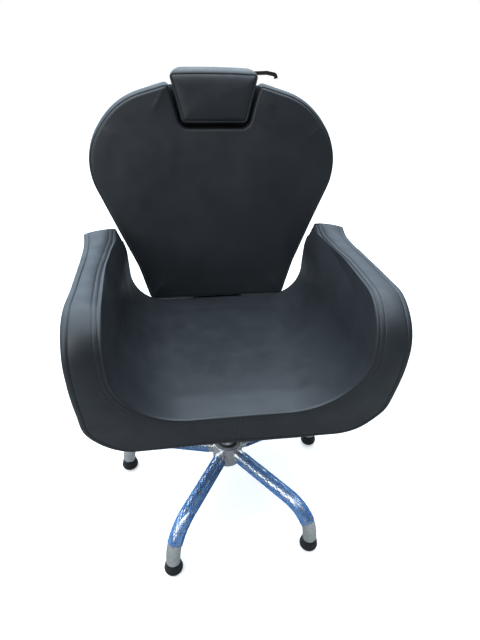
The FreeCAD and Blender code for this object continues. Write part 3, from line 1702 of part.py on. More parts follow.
os.makedirs("parts", exist_ok=True)
leg = make_leg()
sleeve = make_sleeve()
glide = make_glide()
for number in range(leg_count):
    export("leg_%d" % (number + 1), around_base(leg, number))
    export("leg_sleeve_%d" % (number + 1), around_base(sleeve, number))
    export("glide_%d" % (number + 1), around_base(glide, number))
export("hub", make_hub())
export("hub_ring", make_hub_ring())
export("column_tube", make_column_tube())
export("guide_bush", make_guide_bush())
export("thrust_bearing", make_thrust_bearing())
export("piston_rod", make_piston_rod())
export("rod_clip", make_rod_clip())
export("gas_cylinder", make_gas_cylinder())
export("release_pin", make_release_pin())
for name, piece in make_tub_pieces().items():
    export(name, piece)
export("seat_board", make_seat_board())
export("tee_nuts", make_tee_nuts())
export("seat_plate", make_seat_plate())
export("seat_bolts", make_seat_bolts())
export("lever_pin", make_lever_pin())
export("height_lever", make_height_lever())
export("lever_grip", make_lever_grip())
export("hinge_bracket", make_hinge_bracket())
export("strut_pin", make_strut_pin())
export("strut_tube", make_strut_tube())
export("strut_rod", make_strut_rod())
export("trip_lever", make_trip_lever())
hinge_pin = make_hinge_pin()
hinge_washer = make_hinge_washer()
export("hinge_pins", group([hinge_pin, mirrored_x(hinge_pin)]))
export("hinge_washers", group([hinge_washer, mirrored_x(hinge_washer)]))
back_arm = make_back_arm()
export("back_arm_right", lean_back(back_arm))
export("back_arm_left", lean_back(mirrored_x(back_arm)))
export("arm_bolts", make_arm_bolts())
export("crank_pin", make_crank_pin())
export("back_pad", make_back_pad())
export("back_board", bore_board_for_screws(bore_board_for_bolts(make_back_board())))
export("back_rear_pad", make_rear_pad())
export("head_pad", make_head_pad())
export("head_board", make_head_board())
export("head_bar", make_head_bar())
export("head_screws", make_head_screws())
export("head_guide", make_head_guide())
export("handle_bracket", make_handle_bracket())
export("bracket_screws", make_bracket_screws())
export("recline_handle", make_recline_handle())
export("handle_pin", make_handle_pin())
export("release_cable", make_release_cable())
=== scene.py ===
import bpy
import bmesh
import math
import numpy as np
from mathutils.geometry import delaunay_2d_cdt
from mathutils import Matrix, Vector, noise
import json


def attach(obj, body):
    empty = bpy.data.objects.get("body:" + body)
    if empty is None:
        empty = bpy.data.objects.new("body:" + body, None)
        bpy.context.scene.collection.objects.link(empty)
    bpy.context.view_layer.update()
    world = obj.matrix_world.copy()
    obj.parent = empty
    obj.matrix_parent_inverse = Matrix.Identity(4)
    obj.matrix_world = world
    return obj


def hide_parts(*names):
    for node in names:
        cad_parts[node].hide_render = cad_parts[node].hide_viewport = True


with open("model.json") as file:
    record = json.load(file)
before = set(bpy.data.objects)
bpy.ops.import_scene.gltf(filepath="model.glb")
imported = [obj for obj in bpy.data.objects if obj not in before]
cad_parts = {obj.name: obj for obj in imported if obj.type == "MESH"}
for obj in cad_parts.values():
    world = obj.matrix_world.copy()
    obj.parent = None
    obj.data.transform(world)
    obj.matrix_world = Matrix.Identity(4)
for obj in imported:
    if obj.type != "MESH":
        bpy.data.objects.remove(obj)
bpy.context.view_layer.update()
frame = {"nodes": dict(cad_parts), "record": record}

MM = 0.001

# Planes of the tub in the CAD frame, in millimetres
TUB_REAR = 296.0
TUB_FRONT = -213.0
UNDERSIDE = 411.0

# Shape of the tub's cover: a side profile of (depth, height, radius), and for both skins the rows
# (half width, flare, floor height, corner radius) at three stations along the depth
STATIONS = (-275.0, -30.0, 330.0)
CAP = 800.0
PROFILE = [(400.0, 688.0, 0), (232.0, 676.0, 150.0), (40.0, 716.0, 1200.0), (-243.0, 750.5, 90.0),
           (-246.0, 599.0, 380.0), (-213.0, 440.0, 190.0), (-213.0, 351.0, 0)]
INNER = [(237.0, 0.0, 495.0, 150.0), (242.0, 8.0, 474.0, 115.0), (240.0, 12.0, 451.0, 100.0)]
OUTER = [(309.5, 0.0, 402.0, 100.0), (313.0, 2.0, 402.0, 94.0), (315.0, 58.5, 402.0, 150.0)]
LOW_EDGE = 402.0
FRONT_TURN = -236.0
BAND_FALL, REAR_FALL = 13.0, 17.0
BAND_CROWN, REAR_CROWN = -2.0, 11.0
ARM_TOP_START, ARM_TOP_SPAN, REAR_SPAN = 238.0, 105.0, 30.0
RIM_OPENING, REAR_OPENING = 14.0, 5.0
RIM_ROLL, ARM_ROLL = 4.0, 5.0
REAR_SWELL = 5.0
EDGE_DROP = 9.0
PAN_SWELL = 5.0

# A section's parameter runs over the floor, then the corner's arc, then the side
FLOOR_END = 0.3
ARC_END = 0.62

# Mesh columns along each arm, round the front corner and over the floor, denser at the middle seam
ARM_COLUMNS, TURN_COLUMNS, FLOOR_COLUMNS = 90, 50, 48
NEAR_CENTRE = np.arange(0, 0.0721, 0.008)
AWAY_SHARES = np.linspace(NEAR_CENTRE[-1], 1, FLOOR_COLUMNS + 2 - len(NEAR_CENTRE))[1:]
FLOOR_SHARES = np.concatenate([NEAR_CENTRE, AWAY_SHARES])[::-1]

# Back rest: its foot, its lean, and the corners (x, height up the face, radius, bulge) of one half
BACK_FOOT = (0.0, 288.0, 468.0)
BACK_LEAN = math.radians(9.0)
BACK_CORNERS = [(196.0, -8.0, 18.0, 1), (224.0, 92.0, 225.0, -1), (346.0, 386.0, 165.0, 1),
                (247.0, 521.0, 195.0, 1), (113.0, 559.5, 13.0, 1), (85.0, 455.0, 24.0, -1)]


def shade_smooth(mesh):
    mesh.polygons.foreach_set("use_smooth", [True] * len(mesh.polygons))


def in_scene(name, data):
    obj = bpy.data.objects.new(name, data)
    bpy.context.scene.collection.objects.link(obj)
    return obj


def new_object(name, verts, faces, body):
    """A smooth piece that rides on a body of the frame."""
    mesh = bpy.data.meshes.new(name)
    mesh.from_pydata([tuple(v) for v in verts], [], faces)
    mesh.validate()
    shade_smooth(mesh)
    obj = in_scene(name, mesh)
    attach(obj, body)
    return obj


def recalc_outwards(obj):
    work = bmesh.new()
    work.from_mesh(obj.data)
    bmesh.ops.recalc_face_normals(work, faces=work.faces)
    work.to_mesh(obj.data)
    work.free()


def corner_arc(before, corner, after, radius, shares):
    """Points of the arc that rounds a 2-D corner, at shares from its start to its end."""
    before, corner, after = (np.array(p, float) for p in (before, corner, after))
    if radius <= 0:
        return np.repeat(corner[None, :], len(shares), axis=0)
    d1 = (before - corner) / np.linalg.norm(before - corner)
    d2 = (after - corner) / np.linalg.norm(after - corner)
    half = math.acos(np.clip(d1 @ d2, -1, 1)) / 2
    reach = radius / math.tan(half)
    bis = (d1 + d2) / np.linalg.norm(d1 + d2)
    centre = corner + bis * radius / math.sin(half)
    start = corner + d1 * reach - centre
    end = corner + d2 * reach - centre
    a1 = math.atan2(start[1], start[0])
    a2 = math.atan2(end[1], end[0])
    turn = (a2 - a1 + math.pi) % (2 * math.pi) - math.pi
    angles = a1 + turn * np.asarray(shares)
    return centre + radius * np.stack([np.cos(angles), np.sin(angles)], axis=1)


def rounded_polyline(rows, steps):
    """A dense open polyline through corners given as (a, b, radius)."""
    points = [np.array([rows[0][:2]])]
    for before, corner, after in zip(rows, rows[1:], rows[2:]):
        points.append(corner_arc(before[:2], corner[:2], after[:2], corner[2], np.linspace(0, 1, steps)))
    points.append(np.array([rows[-1][:2]]))
    return np.concatenate(points)


def run_along(points):
    """Distance of each point along a polyline."""
    return np.concatenate([[0], np.cumsum(np.linalg.norm(np.diff(points, axis=0), axis=1))])


def resample(points, distances):
    run = run_along(points)
    return np.stack([np.interp(distances, run, points[:, k]) for k in range(points.shape[1])], axis=1)


def eased(share):
    """A share cut to 0 and 1, that starts and ends softly."""
    share = np.clip(share, 0, 1)
    return share ** 2 * (3 - 2 * share)


# The side profile as a dense curve from the arm's rear end round the front to the underside
profile = rounded_polyline(PROFILE, 200)
keep = profile[:, 0] <= TUB_REAR
first = int(np.argmax(keep))
share = (profile[first - 1, 0] - TUB_REAR) / (profile[first - 1, 0] - profile[first, 0])
start_point = profile[first - 1] + (profile[first] - profile[first - 1]) * share
profile = np.concatenate([[start_point], profile[first:]])
profile_run = run_along(profile)
profile_end = np.interp(-LOW_EDGE, -profile[-2:, 1], profile_run[-2:])


def on_profile(p):
    return np.interp(p, profile_run, profile[:, 0]), np.interp(p, profile_run, profile[:, 1])


def section(row, t):
    """A half section of a skin: t runs from the floor's middle to the cap."""
    half, flare, floor, corner = row
    t = np.asarray(t, float)
    c1, c2, c3 = (0.0, floor), (half, floor), (half + flare, CAP)
    arc = corner_arc(c1, c2, c3, corner, np.clip((t - FLOOR_END) / (ARC_END - FLOOR_END), 0, 1))
    floor_end = corner_arc(c1, c2, c3, corner, [0.0])[0]
    side_start = corner_arc(c1, c2, c3, corner, [1.0])[0]
    on_floor = np.stack([floor_end[0] * t / FLOOR_END, np.full_like(t, floor)], axis=1)
    rise = np.clip((t - ARC_END) / (1 - ARC_END), 0, 1)[:, None]
    on_side = side_start + (np.array(c3) - side_start) * rise
    out = np.where((t < FLOOR_END)[:, None], on_floor, arc)
    return np.where((t > ARC_END)[:, None], on_side, out)


def skin(rows, y, t):
    """A skin's point (x, z) at depth y and section parameter t (negative on the left)."""
    y = np.asarray(y, float)
    t = np.asarray(t, float)
    parts = [section(row, np.abs(t)) for row in rows]
    a, b, c = STATIONS
    wa = (y - b) * (y - c) / ((a - b) * (a - c))
    wb = (y - a) * (y - c) / ((b - a) * (b - c))
    wc = (y - a) * (y - b) / ((c - a) * (c - b))
    out = parts[0] * wa[:, None] + parts[1] * wb[:, None] + parts[2] * wc[:, None]
    out[:, 0] *= np.sign(t) + (t == 0)
    return out


def solve_t(rows, y, z):
    """The section parameter at which a skin reaches height z, for arrays y and z."""
    low = np.full_like(z, FLOOR_END)
    high = np.ones_like(z)
    for _ in range(40):
        middle = (low + high) / 2
        above = skin(rows, y, middle)[:, 1] > z
        high = np.where(above, middle, high)
        low = np.where(above, low, middle)
    return (low + high) / 2


def rim_curve(rows):
    """A skin's meeting with the side profile, as rows (p, t), from the arm's rear to the front centre."""
    p = np.linspace(0, profile_end, 4000)
    y, z = on_profile(p)
    floor = skin(rows, y, np.zeros_like(y))[:, 1]
    inside = z > floor + 0.01
    p, y, z = p[inside], y[inside], z[inside]
    t = solve_t(rows, y, z)
    tail = np.linspace(FLOOR_END, 0, 60)
    tail_p = np.full_like(tail, p[-1])
    return np.concatenate([np.stack([p, t], 1), np.stack([tail_p, tail], 1)])


def rim_xyz(rows, curve):
    y, z = on_profile(curve[:, 0])
    x = skin(rows, y, curve[:, 1])[:, 0]
    return np.stack([x, y, z], 1)


def by_anchor(curve, points):
    """Resample a rim curve between its anchors: arm, front corner and floor."""
    y, z = on_profile(curve[:, 0])
    turn_start = int(np.argmax(y < FRONT_TURN))
    floor_start = int(np.argmax(curve[:, 1] <= FLOOR_END + 0.002))
    spans = ((0, turn_start, ARM_COLUMNS), (turn_start, floor_start, TURN_COLUMNS),
             (floor_start, len(curve) - 1, FLOOR_COLUMNS))
    out = []
    for low, high, count in spans:
        part = points[low:high + 1]
        data = curve[low:high + 1]
        run = run_along(part)
        places = np.linspace(0, run[-1], count + 1)
        if count == FLOOR_COLUMNS:
            places = run[-1] * (1 - FLOOR_SHARES)
        if high < len(curve) - 1:
            places = places[:-1]
        out.append(np.stack([np.interp(places, run, data[:, 0]), np.interp(places, run, data[:, 1])], 1))
    return np.concatenate(out)


inner_rim = rim_curve(INNER)
outer_rim = rim_curve(OUTER)
inner_cols = by_anchor(inner_rim, rim_xyz(INNER, inner_rim))
outer_cols = by_anchor(outer_rim, rim_xyz(OUTER, outer_rim))


def rear_cols(rows, rim):
    """Section parameters along a skin's rear rim, matched to the columns from arm end to centre."""
    t_top = rim[0, 1]
    t = np.concatenate([np.linspace(t_top, ARC_END, 60)[:-1], np.linspace(ARC_END, FLOOR_END, 60)[:-1],
                        np.linspace(FLOOR_END, 0, 60)])
    xz = skin(rows, np.full_like(t, TUB_REAR), t)
    run = run_along(xz)
    first_turn = np.interp(-ARC_END, -t, run)
    second_turn = np.interp(-FLOOR_END, -t, run)
    anchors = np.cumsum([0, ARM_COLUMNS, TURN_COLUMNS, FLOOR_COLUMNS])
    place = np.interp(np.arange(anchors[-1] + 1), anchors, [0, first_turn, second_turn, run[-1]])
    place[-FLOOR_COLUMNS - 1:] = second_turn + (run[-1] - second_turn) * (1 - FLOOR_SHARES)
    return np.interp(place, run, t)


inner_rear = rear_cols(INNER, inner_rim)
outer_rear = rear_cols(OUTER, outer_rim)
half_columns = len(inner_cols)


def spread_distances(total, start_gap, end_gap, near_start, near_end, middle):
    """Distances along a strip: near-edge steps counted from both gaps, and an even run between."""
    need = start_gap + end_gap + near_start[-1] + near_end[-1]
    scale = min(1.0, total / (need * 1.15))
    head = (start_gap + np.array(near_start)) * scale
    tail = total - (end_gap + np.array(near_end)) * scale
    body = np.linspace(head[-1], tail[-1], middle + 2)[1:-1]
    return np.concatenate([head, body, tail[::-1]])


# Steps of the mesh away from each seam and edge, and the rounding of the tub's edges
SEAM_STEPS = [0.0, 1.0, 2.0, 3.2, 4.8, 7.0, 10.0, 14.0]
TWIN_STEPS = [0.0, 0.7, 1.5, 2.5, 4.0, 5.6, 7.0, 7.9, 8.7, 9.5, 10.3, 11.2, 12.4, 14.5]
OUTER_STEPS = [0.0, 0.8, 1.5, 2.2, 2.9, 3.7, 5.0, 7.5]
EDGE_STEPS = [0.0, 2.5, 6.0, 11.0]
INNER_FILLET, OUTER_FILLET, REAR_FILLET = 6.0, 10.0, 6.0


def domain_path(a, b, count=160):
    share = np.linspace(0, 1, count)[:, None]
    return np.asarray(a) * (1 - share) + np.asarray(b) * share


def bezier(a, corner, b, count):
    share = np.linspace(0, 1, count + 2)[1:-1, None]
    return a * (1 - share) ** 2 + corner * 2 * share * (1 - share) + b * share ** 2


def column_ring(index):
    """One closed ring of the tub's cover: inner skin, rear rim, outer skin, front band."""
    p_in, t_in = inner_cols[index]
    p_out, t_out = outer_cols[index]
    y_in = on_profile([p_in])[0][0]
    y_out = on_profile([p_out])[0][0]
    path = domain_path((y_in, t_in), (TUB_REAR, inner_rear[index]))
    xz = skin(INNER, path[:, 0], path[:, 1])
    inner = np.stack([xz[:, 0], path[:, 0], xz[:, 1]], 1)
    path = domain_path((TUB_REAR, outer_rear[index]), (y_out, t_out))
    xz = skin(OUTER, path[:, 0], path[:, 1])
    outer = np.stack([xz[:, 0], path[:, 0], xz[:, 1]], 1)
    x_out = outer[-1, 0]
    x_in = inner[0, 0]
    path = domain_path((p_out, x_out), (p_in, x_in))
    y, z = on_profile(path[:, 0])
    band = np.stack([path[:, 1], y, z], 1)
    rear = domain_path(inner[-1], outer[0])
    strips = []
    for points, gaps, near, count in (
        (inner, (INNER_FILLET, REAR_FILLET), (SEAM_STEPS, EDGE_STEPS), 60),
        (rear, (REAR_FILLET, REAR_FILLET), (EDGE_STEPS[:2], EDGE_STEPS[:2]), 8),
        (outer, (REAR_FILLET, OUTER_FILLET), (EDGE_STEPS, EDGE_STEPS), 60),
        (band, (OUTER_FILLET, INNER_FILLET), (OUTER_STEPS, TWIN_STEPS), 12),
    ):
        distances = spread_distances(run_along(points)[-1], gaps[0], gaps[1], near[0], near[1], count)
        strips.append(resample(points, distances))
    inner_strip, rear_strip, outer_strip, band_strip = strips
    return [
        inner_strip, bezier(inner_strip[-1], inner[-1], rear_strip[0], 3),
        rear_strip, bezier(rear_strip[-1], outer[0], outer_strip[0], 3),
        outer_strip, bezier(outer_strip[-1], outer[-1], band_strip[0], 9),
        band_strip, bezier(band_strip[-1], inner[0], inner_strip[0], 5),
    ]


ring_sizes = [len(part) for part in column_ring(half_columns // 2)]
columns = [np.concatenate(column_ring(index)) for index in range(half_columns)]
right = np.stack(columns)
left = right[:-1].copy()
left[:, :, 0] *= -1
tub = np.concatenate([right, left[::-1]])
tub_x, tub_y, tub_z = np.moveaxis(tub, -1, 0)

# The arms' inner rims open outwards towards their rear ends
rearward = (tub_y - 100) / 190
climb = np.clip((tub_z - 610) / 70, 0, 1.1) ** 1.6
near_rim = np.clip((312 - np.abs(tub_x)) / 60, 0, 1)
opening = (RIM_OPENING + REAR_OPENING * np.clip(rearward, 0, 1)) * eased((tub_y + 260) / 400)
tub_x += np.sign(tub_x) * opening * climb * near_rim

# The arms' tops are crowned and fall away outwards
reach = eased(rearward)
across = np.clip((np.abs(tub_x) - ARM_TOP_START) / (ARM_TOP_SPAN + REAR_SPAN * reach), 0, 1)
crown = (BAND_CROWN * (1 - reach) + REAR_CROWN * reach) * np.sin(math.pi * across)
fall = (BAND_FALL * (1 - reach) + REAR_FALL * reach) * across
tub_z += eased((tub_z - 590) / 80) * (crown - fall)


# Helpers for meshes made of rings
def ring_faces(ring_count, size):
    """Quads between neighbouring closed rings of one size."""
    faces = []
    for ring in range(ring_count - 1):
        a, b = ring * size, (ring + 1) * size
        for i in range(size):
            j = (i + 1) % size
            faces.append((a + i, a + j, b + j, b + i))
    return faces


def vertex_normals(obj):
    mesh = obj.data
    mesh.update()
    out = np.empty(len(mesh.vertices) * 3)
    mesh.vertex_normals.foreach_get("vector", out)
    return out.reshape(-1, 3)


def get_points(obj):
    out = np.empty(len(obj.data.vertices) * 3)
    obj.data.vertices.foreach_get("co", out)
    return out.reshape(-1, 3)


def set_points(obj, points):
    obj.data.vertices.foreach_set("co", np.asarray(points, float).ravel())
    obj.data.update()


def groove(distance, depth, width):
    return -depth * np.exp(-(distance / width) ** 2)


def smooth_noise(points, scale, seed):
    offset = Vector((seed * 7.3, seed * 3.1, seed * 5.7))
    return np.array([noise.noise(Vector(p) * scale + offset) for p in points])


# Tub cover: padding, seams and the recess round the seat board
cover_columns, cover_rows = tub.shape[:2]
cover_faces = ring_faces(cover_columns, cover_rows)
cover = new_object("tub_cover", tub.reshape(-1, 3) * MM, cover_faces, "seat")
recalc_outwards(cover)
tub_normals = vertex_normals(cover).reshape(tub.shape)
steps = np.linalg.norm(np.diff(tub, axis=1, append=tub[:, :1]), axis=2)
ring_run = np.cumsum(steps, axis=1) - steps
ring_length = steps.sum(axis=1, keepdims=True)
ends = np.cumsum([0] + ring_sizes)
REAR_START, OUTER_START, BAND_START = ends[2], ends[4], ends[6]
BAND_END = ends[7] - 1


def ring_distance(place):
    """Signed distance along each ring from a place given per column."""
    gap = ring_run - place
    return (gap + ring_length / 2) % ring_length - ring_length / 2


seam_inner = ring_run[:, BAND_END:BAND_END + 1] + 0.4
seam_twin = seam_inner - 9.6
seam_outer = ring_run[:, BAND_START:BAND_START + 1] + 2.2
band_width = np.maximum(seam_inner - seam_outer, 1.0)
to_inner = ring_distance(seam_inner)
to_twin = ring_distance(seam_twin)
to_outer = ring_distance(seam_outer)
on_band = np.clip(-to_inner / band_width, 0, 1) * ((-to_inner > 0) & (-to_inner < band_width))
nearest = np.argmin(np.abs(to_inner), axis=1)[:, None]
rim_height = np.take_along_axis(tub_z, nearest, axis=1)
rim_depth = np.take_along_axis(tub_y, nearest, axis=1)
on_arm = np.clip((rim_height - 510) / 90, 0, 1)
lift = 1.9 * np.sin(math.pi * on_band) ** 0.75
inside = np.clip(to_inner, 0, None) * (to_inner > 0)
on_inner_skin = (np.arange(cover_rows) < REAR_START)[None, :]
on_outer_skin = (np.arange(cover_rows) > OUTER_START)[None, :]
lift += 1.1 * (1 - np.exp(-inside / 9)) * (to_inner > 0) * on_inner_skin
outside = np.clip(-to_outer, 0, None)
lift += 1.0 * (1 - np.exp(-outside / 8)) * (to_outer < 0) * on_outer_skin
lift += groove(to_inner, 1.2, 1.2) + groove(to_twin, 0.8, 1.1) * on_arm + groove(to_outer, 1.1, 1.2)
lift += 0.4 * on_arm * np.exp(-((to_inner + 4.8) / 2.6) ** 2)

# The sitting surface swells, and two short seams cross the front band at its middle
pan = on_inner_skin * np.exp(-(tub_x / 150) ** 4)
pan = pan * np.clip((tub_y - TUB_FRONT) / 60, 0, 1) * np.clip((TUB_REAR - tub_y) / 90, 0, 1)
lift += PAN_SWELL * pan
at_middle = (np.abs(tub_x) < 30) & (tub_y < TUB_FRONT + 30)
on_front_band = (to_inner < 1.5) & (to_outer > -1.5) & at_middle
for place in (-4.6, 4.6):
    lift += on_front_band * groove(tub_x - place, 1.4, 1.4)
for height, scale, seed in ((1.3, 9.0, 1), (0.35, 30.0, 2)):
    lift += height * smooth_noise(tub.reshape(-1, 3) * MM, scale, seed).reshape(cover_columns, cover_rows)
lift *= np.clip(ring_length / 300, 0.35, 1)
padded = tub + tub_normals * lift[:, :, None]
pad_x, pad_y, pad_z = np.moveaxis(padded, -1, 0)

# The inner rim rolls over: its corner is drawn back along each ring's own diagonal
weight = np.exp(-(to_inner / 8) ** 2)[:, :, None]
diagonal = (tub_normals * weight).sum(axis=1)
diagonal /= np.linalg.norm(diagonal, axis=1, keepdims=True)
roll = RIM_ROLL + ARM_ROLL * np.clip((rim_height - 500) / 90, 0, 1)
ease = np.clip((TUB_REAR - rim_depth) / 190, 0, 1)
roll = roll * np.exp(-(np.abs(to_inner) / 24) ** 1.5) * ease * (2 - ease)
padded -= diagonal[:, None, :] * roll[:, :, None]

# The rear rim swells up to the back rest's foot
rise = np.exp(-(pad_x / 205) ** 6) * np.clip((pad_y - 230) / 55, 0, 1)
pad_z += REAR_SWELL * rise * np.clip((pad_z - 425) / 22, 0, 1)

# The board sits in a recess of the underside
BOARD_HALF, BOARD_FRONT, BOARD_REAR = 120.0, -150.0, 205.0
beyond = np.maximum(BOARD_FRONT - pad_y, pad_y - BOARD_REAR)
beside = np.maximum(np.abs(pad_x) - BOARD_HALF, beyond)
low = pad_z < UNDERSIDE + 12
share = np.clip((9.0 - beside) / 5.0, 0, 1)
floor_level = np.where(low, UNDERSIDE + 1.0 + 16.5 * share, pad_z)
pad_z[:] = np.where(low & (beside < 9.0), np.maximum(pad_z, floor_level), pad_z)
# The lowered underside keeps clear of the lever's grip
near_lever = np.clip((70 - np.abs(pad_y)) / 45, 0, 1)
lowering = np.clip((beside - 20 - 115 * near_lever) / 45, 0, 1)
pad_z[:] = np.maximum(pad_z, UNDERSIDE - 1.5 - EDGE_DROP * lowering)
set_points(cover, padded.reshape(-1, 3) * MM)

# Soften the corner where the arm's top meets its rear end
work = bmesh.new()
work.from_mesh(cover.data)
work.verts.ensure_lookup_table()
bmesh.ops.remove_doubles(work, verts=work.verts, dist=0.00002)
tips = [v for v in work.verts if v.co.y > (TUB_REAR - 14) * MM and v.co.z > 0.645]
for _ in range(30):
    bmesh.ops.smooth_vert(work, verts=tips, factor=0.5, use_axis_x=True, use_axis_y=True, use_axis_z=True)
work.to_mesh(cover.data)
work.free()
shade_smooth(cover.data)
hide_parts("tub_front_band", "tub_rear_band", "tub_inner_pad", "tub_outer_pad")


def back_point(x, n, v):
    """World points of the back rest: x across, n through it from its face, v up the face."""
    c, s = math.cos(BACK_LEAN), math.sin(BACK_LEAN)
    x, n, v = (np.asarray(k, float) for k in (x, n, v))
    return np.stack([x + 0 * n, BACK_FOOT[1] + n * c + v * s, BACK_FOOT[2] - n * s + v * c], axis=-1) * MM


def inset_corner(before, corner, after, inset):
    """A corner of an outline whose two edges have moved inwards."""
    before, corner, after = (np.array(p, float) for p in (before, corner, after))
    first = (corner - before) / np.linalg.norm(corner - before)
    second = (after - corner) / np.linalg.norm(after - corner)
    n1 = np.array([-first[1], first[0]])
    n2 = np.array([-second[1], second[0]])
    return corner + (n1 + n2) * inset / (1 + n1 @ n2)


def outline_ring(corners, inset, arc_steps, run_steps, least=3.0):
    """A closed ring through rounded corners (x, z, radius, bulge), moved inwards by an inset."""
    count = len(corners)
    moved = []
    for index in range(count):
        before, corner, after = (corners[k % count][:2] for k in (index - 1, index, index + 1))
        radius = max(corners[index][2] - corners[index][3] * inset, least)
        moved.append((inset_corner(before, corner, after, inset), radius))
    arcs = []
    for index in range(count):
        before, after = moved[index - 1][0], moved[(index + 1) % count][0]
        shares = np.linspace(0, 1, arc_steps[index])
        arcs.append(corner_arc(before, moved[index][0], after, moved[index][1], shares))
    points = []
    for index in range(count):
        points.append(arcs[index])
        start, end = arcs[index][-1], arcs[(index + 1) % count][0]
        shares = np.linspace(0, 1, run_steps[index] + 2)[1:-1, None]
        points.append(start * (1 - shares) + end * shares)
    return np.concatenate(points)


def full_corners(half):
    """Both halves of an outline that is the same on the left."""
    return list(half) + [(-x, z, r, b) for x, z, r, b in reversed(half)]


def stack_rings(name, rings, body):
    """A closed mesh through matching rings of world points, with a pole at each end."""
    size = len(rings[0])
    verts = list(np.concatenate(rings))
    faces = ring_faces(len(rings), size)
    for index in (0, len(rings) - 1):
        verts.append(np.mean(rings[index], axis=0))
        pole = len(verts) - 1
        for i in range(size):
            faces.append((index * size + i, index * size + (i + 1) % size, pole))
    obj = new_object(name, verts, faces, body)
    recalc_outwards(obj)
    return obj


# Back rest pad
ARC_STEPS = [10, 26, 40, 44, 10, 14]
RUN_STEPS = [14, 30, 26, 20, 24, 30]
back_corners = full_corners(BACK_CORNERS)
arc_steps = ARC_STEPS + ARC_STEPS[::-1]
run_steps = RUN_STEPS + RUN_STEPS[-2::-1] + [60]
seam_marks = outline_ring(back_corners, 0, arc_steps, run_steps)
# The seam runs nearer to the edge inside the notch than along the rest of the outline
NOTCH_HALF, NOTCH_FLOOR = 109.0, 450.0
BLEND_COUNT = 10
in_notch = (np.abs(seam_marks[:, 0]) < NOTCH_HALF) & (seam_marks[:, 1] > NOTCH_FLOOR)
notch_share = np.convolve(np.tile(in_notch, 3).astype(float), np.ones(BLEND_COUNT) / BLEND_COUNT, "same")
notch_share = notch_share[len(in_notch):2 * len(in_notch)]
foot_share = np.clip((20 - seam_marks[:, 1]) / 24, 0, 1) * 0.8
near_share = np.maximum(notch_share, foot_share)
# Along the top the seam lies further down the face
top_share = np.clip((seam_marks[:, 1] - 380) / 90, 0, 1) * (1 - notch_share)


def border_ring(inset):
    """The back's outline moved inwards, less in the notch and at the foot, and more along the top."""
    base = outline_ring(back_corners, inset, arc_steps, run_steps)
    nearer = inset * 0.5 * math.exp(-max(inset - 8, 0) / 10)
    near = outline_ring(back_corners, inset - nearer, arc_steps, run_steps)
    extra = inset * 0.9 if inset < 7 else 6.3 * math.exp(-(inset - 7) / 10)
    far = outline_ring(back_corners, inset + extra, arc_steps, run_steps)
    base = base * (1 - top_share[:, None]) + far * top_share[:, None]
    return base * (1 - near_share[:, None]) + near * near_share[:, None]


# Rings of the border from the rear round the edge to the face: inset, depth, and depth along the top
BORDER = [(30, 54.9, 54.9), (17, 54.9, 54.9), (9, 54.2, 54.2), (5, 52.0, 52.0), (2.6, 47, 47), (1.0, 40, 40),
          (0.2, 33, 33), (0, 27, 27), (0.2, 22.5, 22.5), (0.7, 18.5, 18.5), (1.5, 15.2, 15.2),
          (2.6, 12.8, 12.0), (3.6, 11.6, 9.2), (4.4, 11.3, 7.6), (5.0, 11.9, 7.4), (5.6, 12.3, 7.9),
          (6.2, 11.6, 6.6), (7.0, 10.1, 5.0), (8.4, 8.6, 4.3), (11, 6.7, 3.8), (15, 4.8, 3.0), (20, 3.0, 2.1),
          (27, 1.1, 0.8), (36, -0.8, -0.8), (48, -2.6, -2.6)]
FACE_DEPTH, FACE_CROWN, FACE_SPREAD = -2.6, 3.4, 60.0
FACE_PITCH = 9.0
FIRST_FREE_RING = 20
FOOT_HANG = 9.0
border = np.stack([border_ring(inset) for inset, depth, top_depth in BORDER])
depths = np.stack([depth + (top_depth - depth) * top_share for inset, depth, top_depth in BORDER])

# Behind the face the foot hangs lower on both sides of the hinge
width = np.abs(border[:, :, 0])
beside_hinge = np.clip((width - 62) / 10, 0, 1) * np.clip((192 - width) / 14, 0, 1)
behind_face = np.clip((depths - 12) / 12, 0, 1) * np.clip((53 - depths) / 8, 0, 1)
border[:, :, 1] -= FOOT_HANG * np.clip((10 - border[:, :, 1]) / 16, 0, 1) * beside_hinge * behind_face


def inside_outline(points, outline):
    """Which points lie within a closed outline, and how far each is from its corners."""
    start, end = outline[None, :, :], np.roll(outline, -1, axis=0)[None, :, :]
    height = points[:, None, 1]
    crossing = (start[:, :, 1] > height) != (end[:, :, 1] > height)
    rise = np.where(crossing, end[:, :, 1] - start[:, :, 1], 1.0)
    at = start[:, :, 0] + (height - start[:, :, 1]) * (end[:, :, 0] - start[:, :, 0]) / rise
    inside = (crossing & (points[:, None, 0] < at)).sum(axis=1) % 2 == 1
    return inside, np.linalg.norm(points[:, None, :] - outline[None, :, :], axis=2).min(axis=1)


def even_depths(flat, depth, faces, first):
    """Depths evened out over a net, from its first free point on."""
    pairs = {tuple(sorted((face[k], face[k - 1]))) for face in faces for k in range(len(face))}
    one, two = np.array(sorted(pairs)).T
    pull = 1 / np.maximum(np.linalg.norm(flat[one] - flat[two], axis=1), 0.5)
    total_pull = np.bincount(one, pull, len(flat)) + np.bincount(two, pull, len(flat))
    for _ in range(140):
        total = np.bincount(one, pull * depth[two], len(flat))
        total += np.bincount(two, pull * depth[one], len(flat))
        depth[first:] = (total / total_pull)[first:]
    return depth


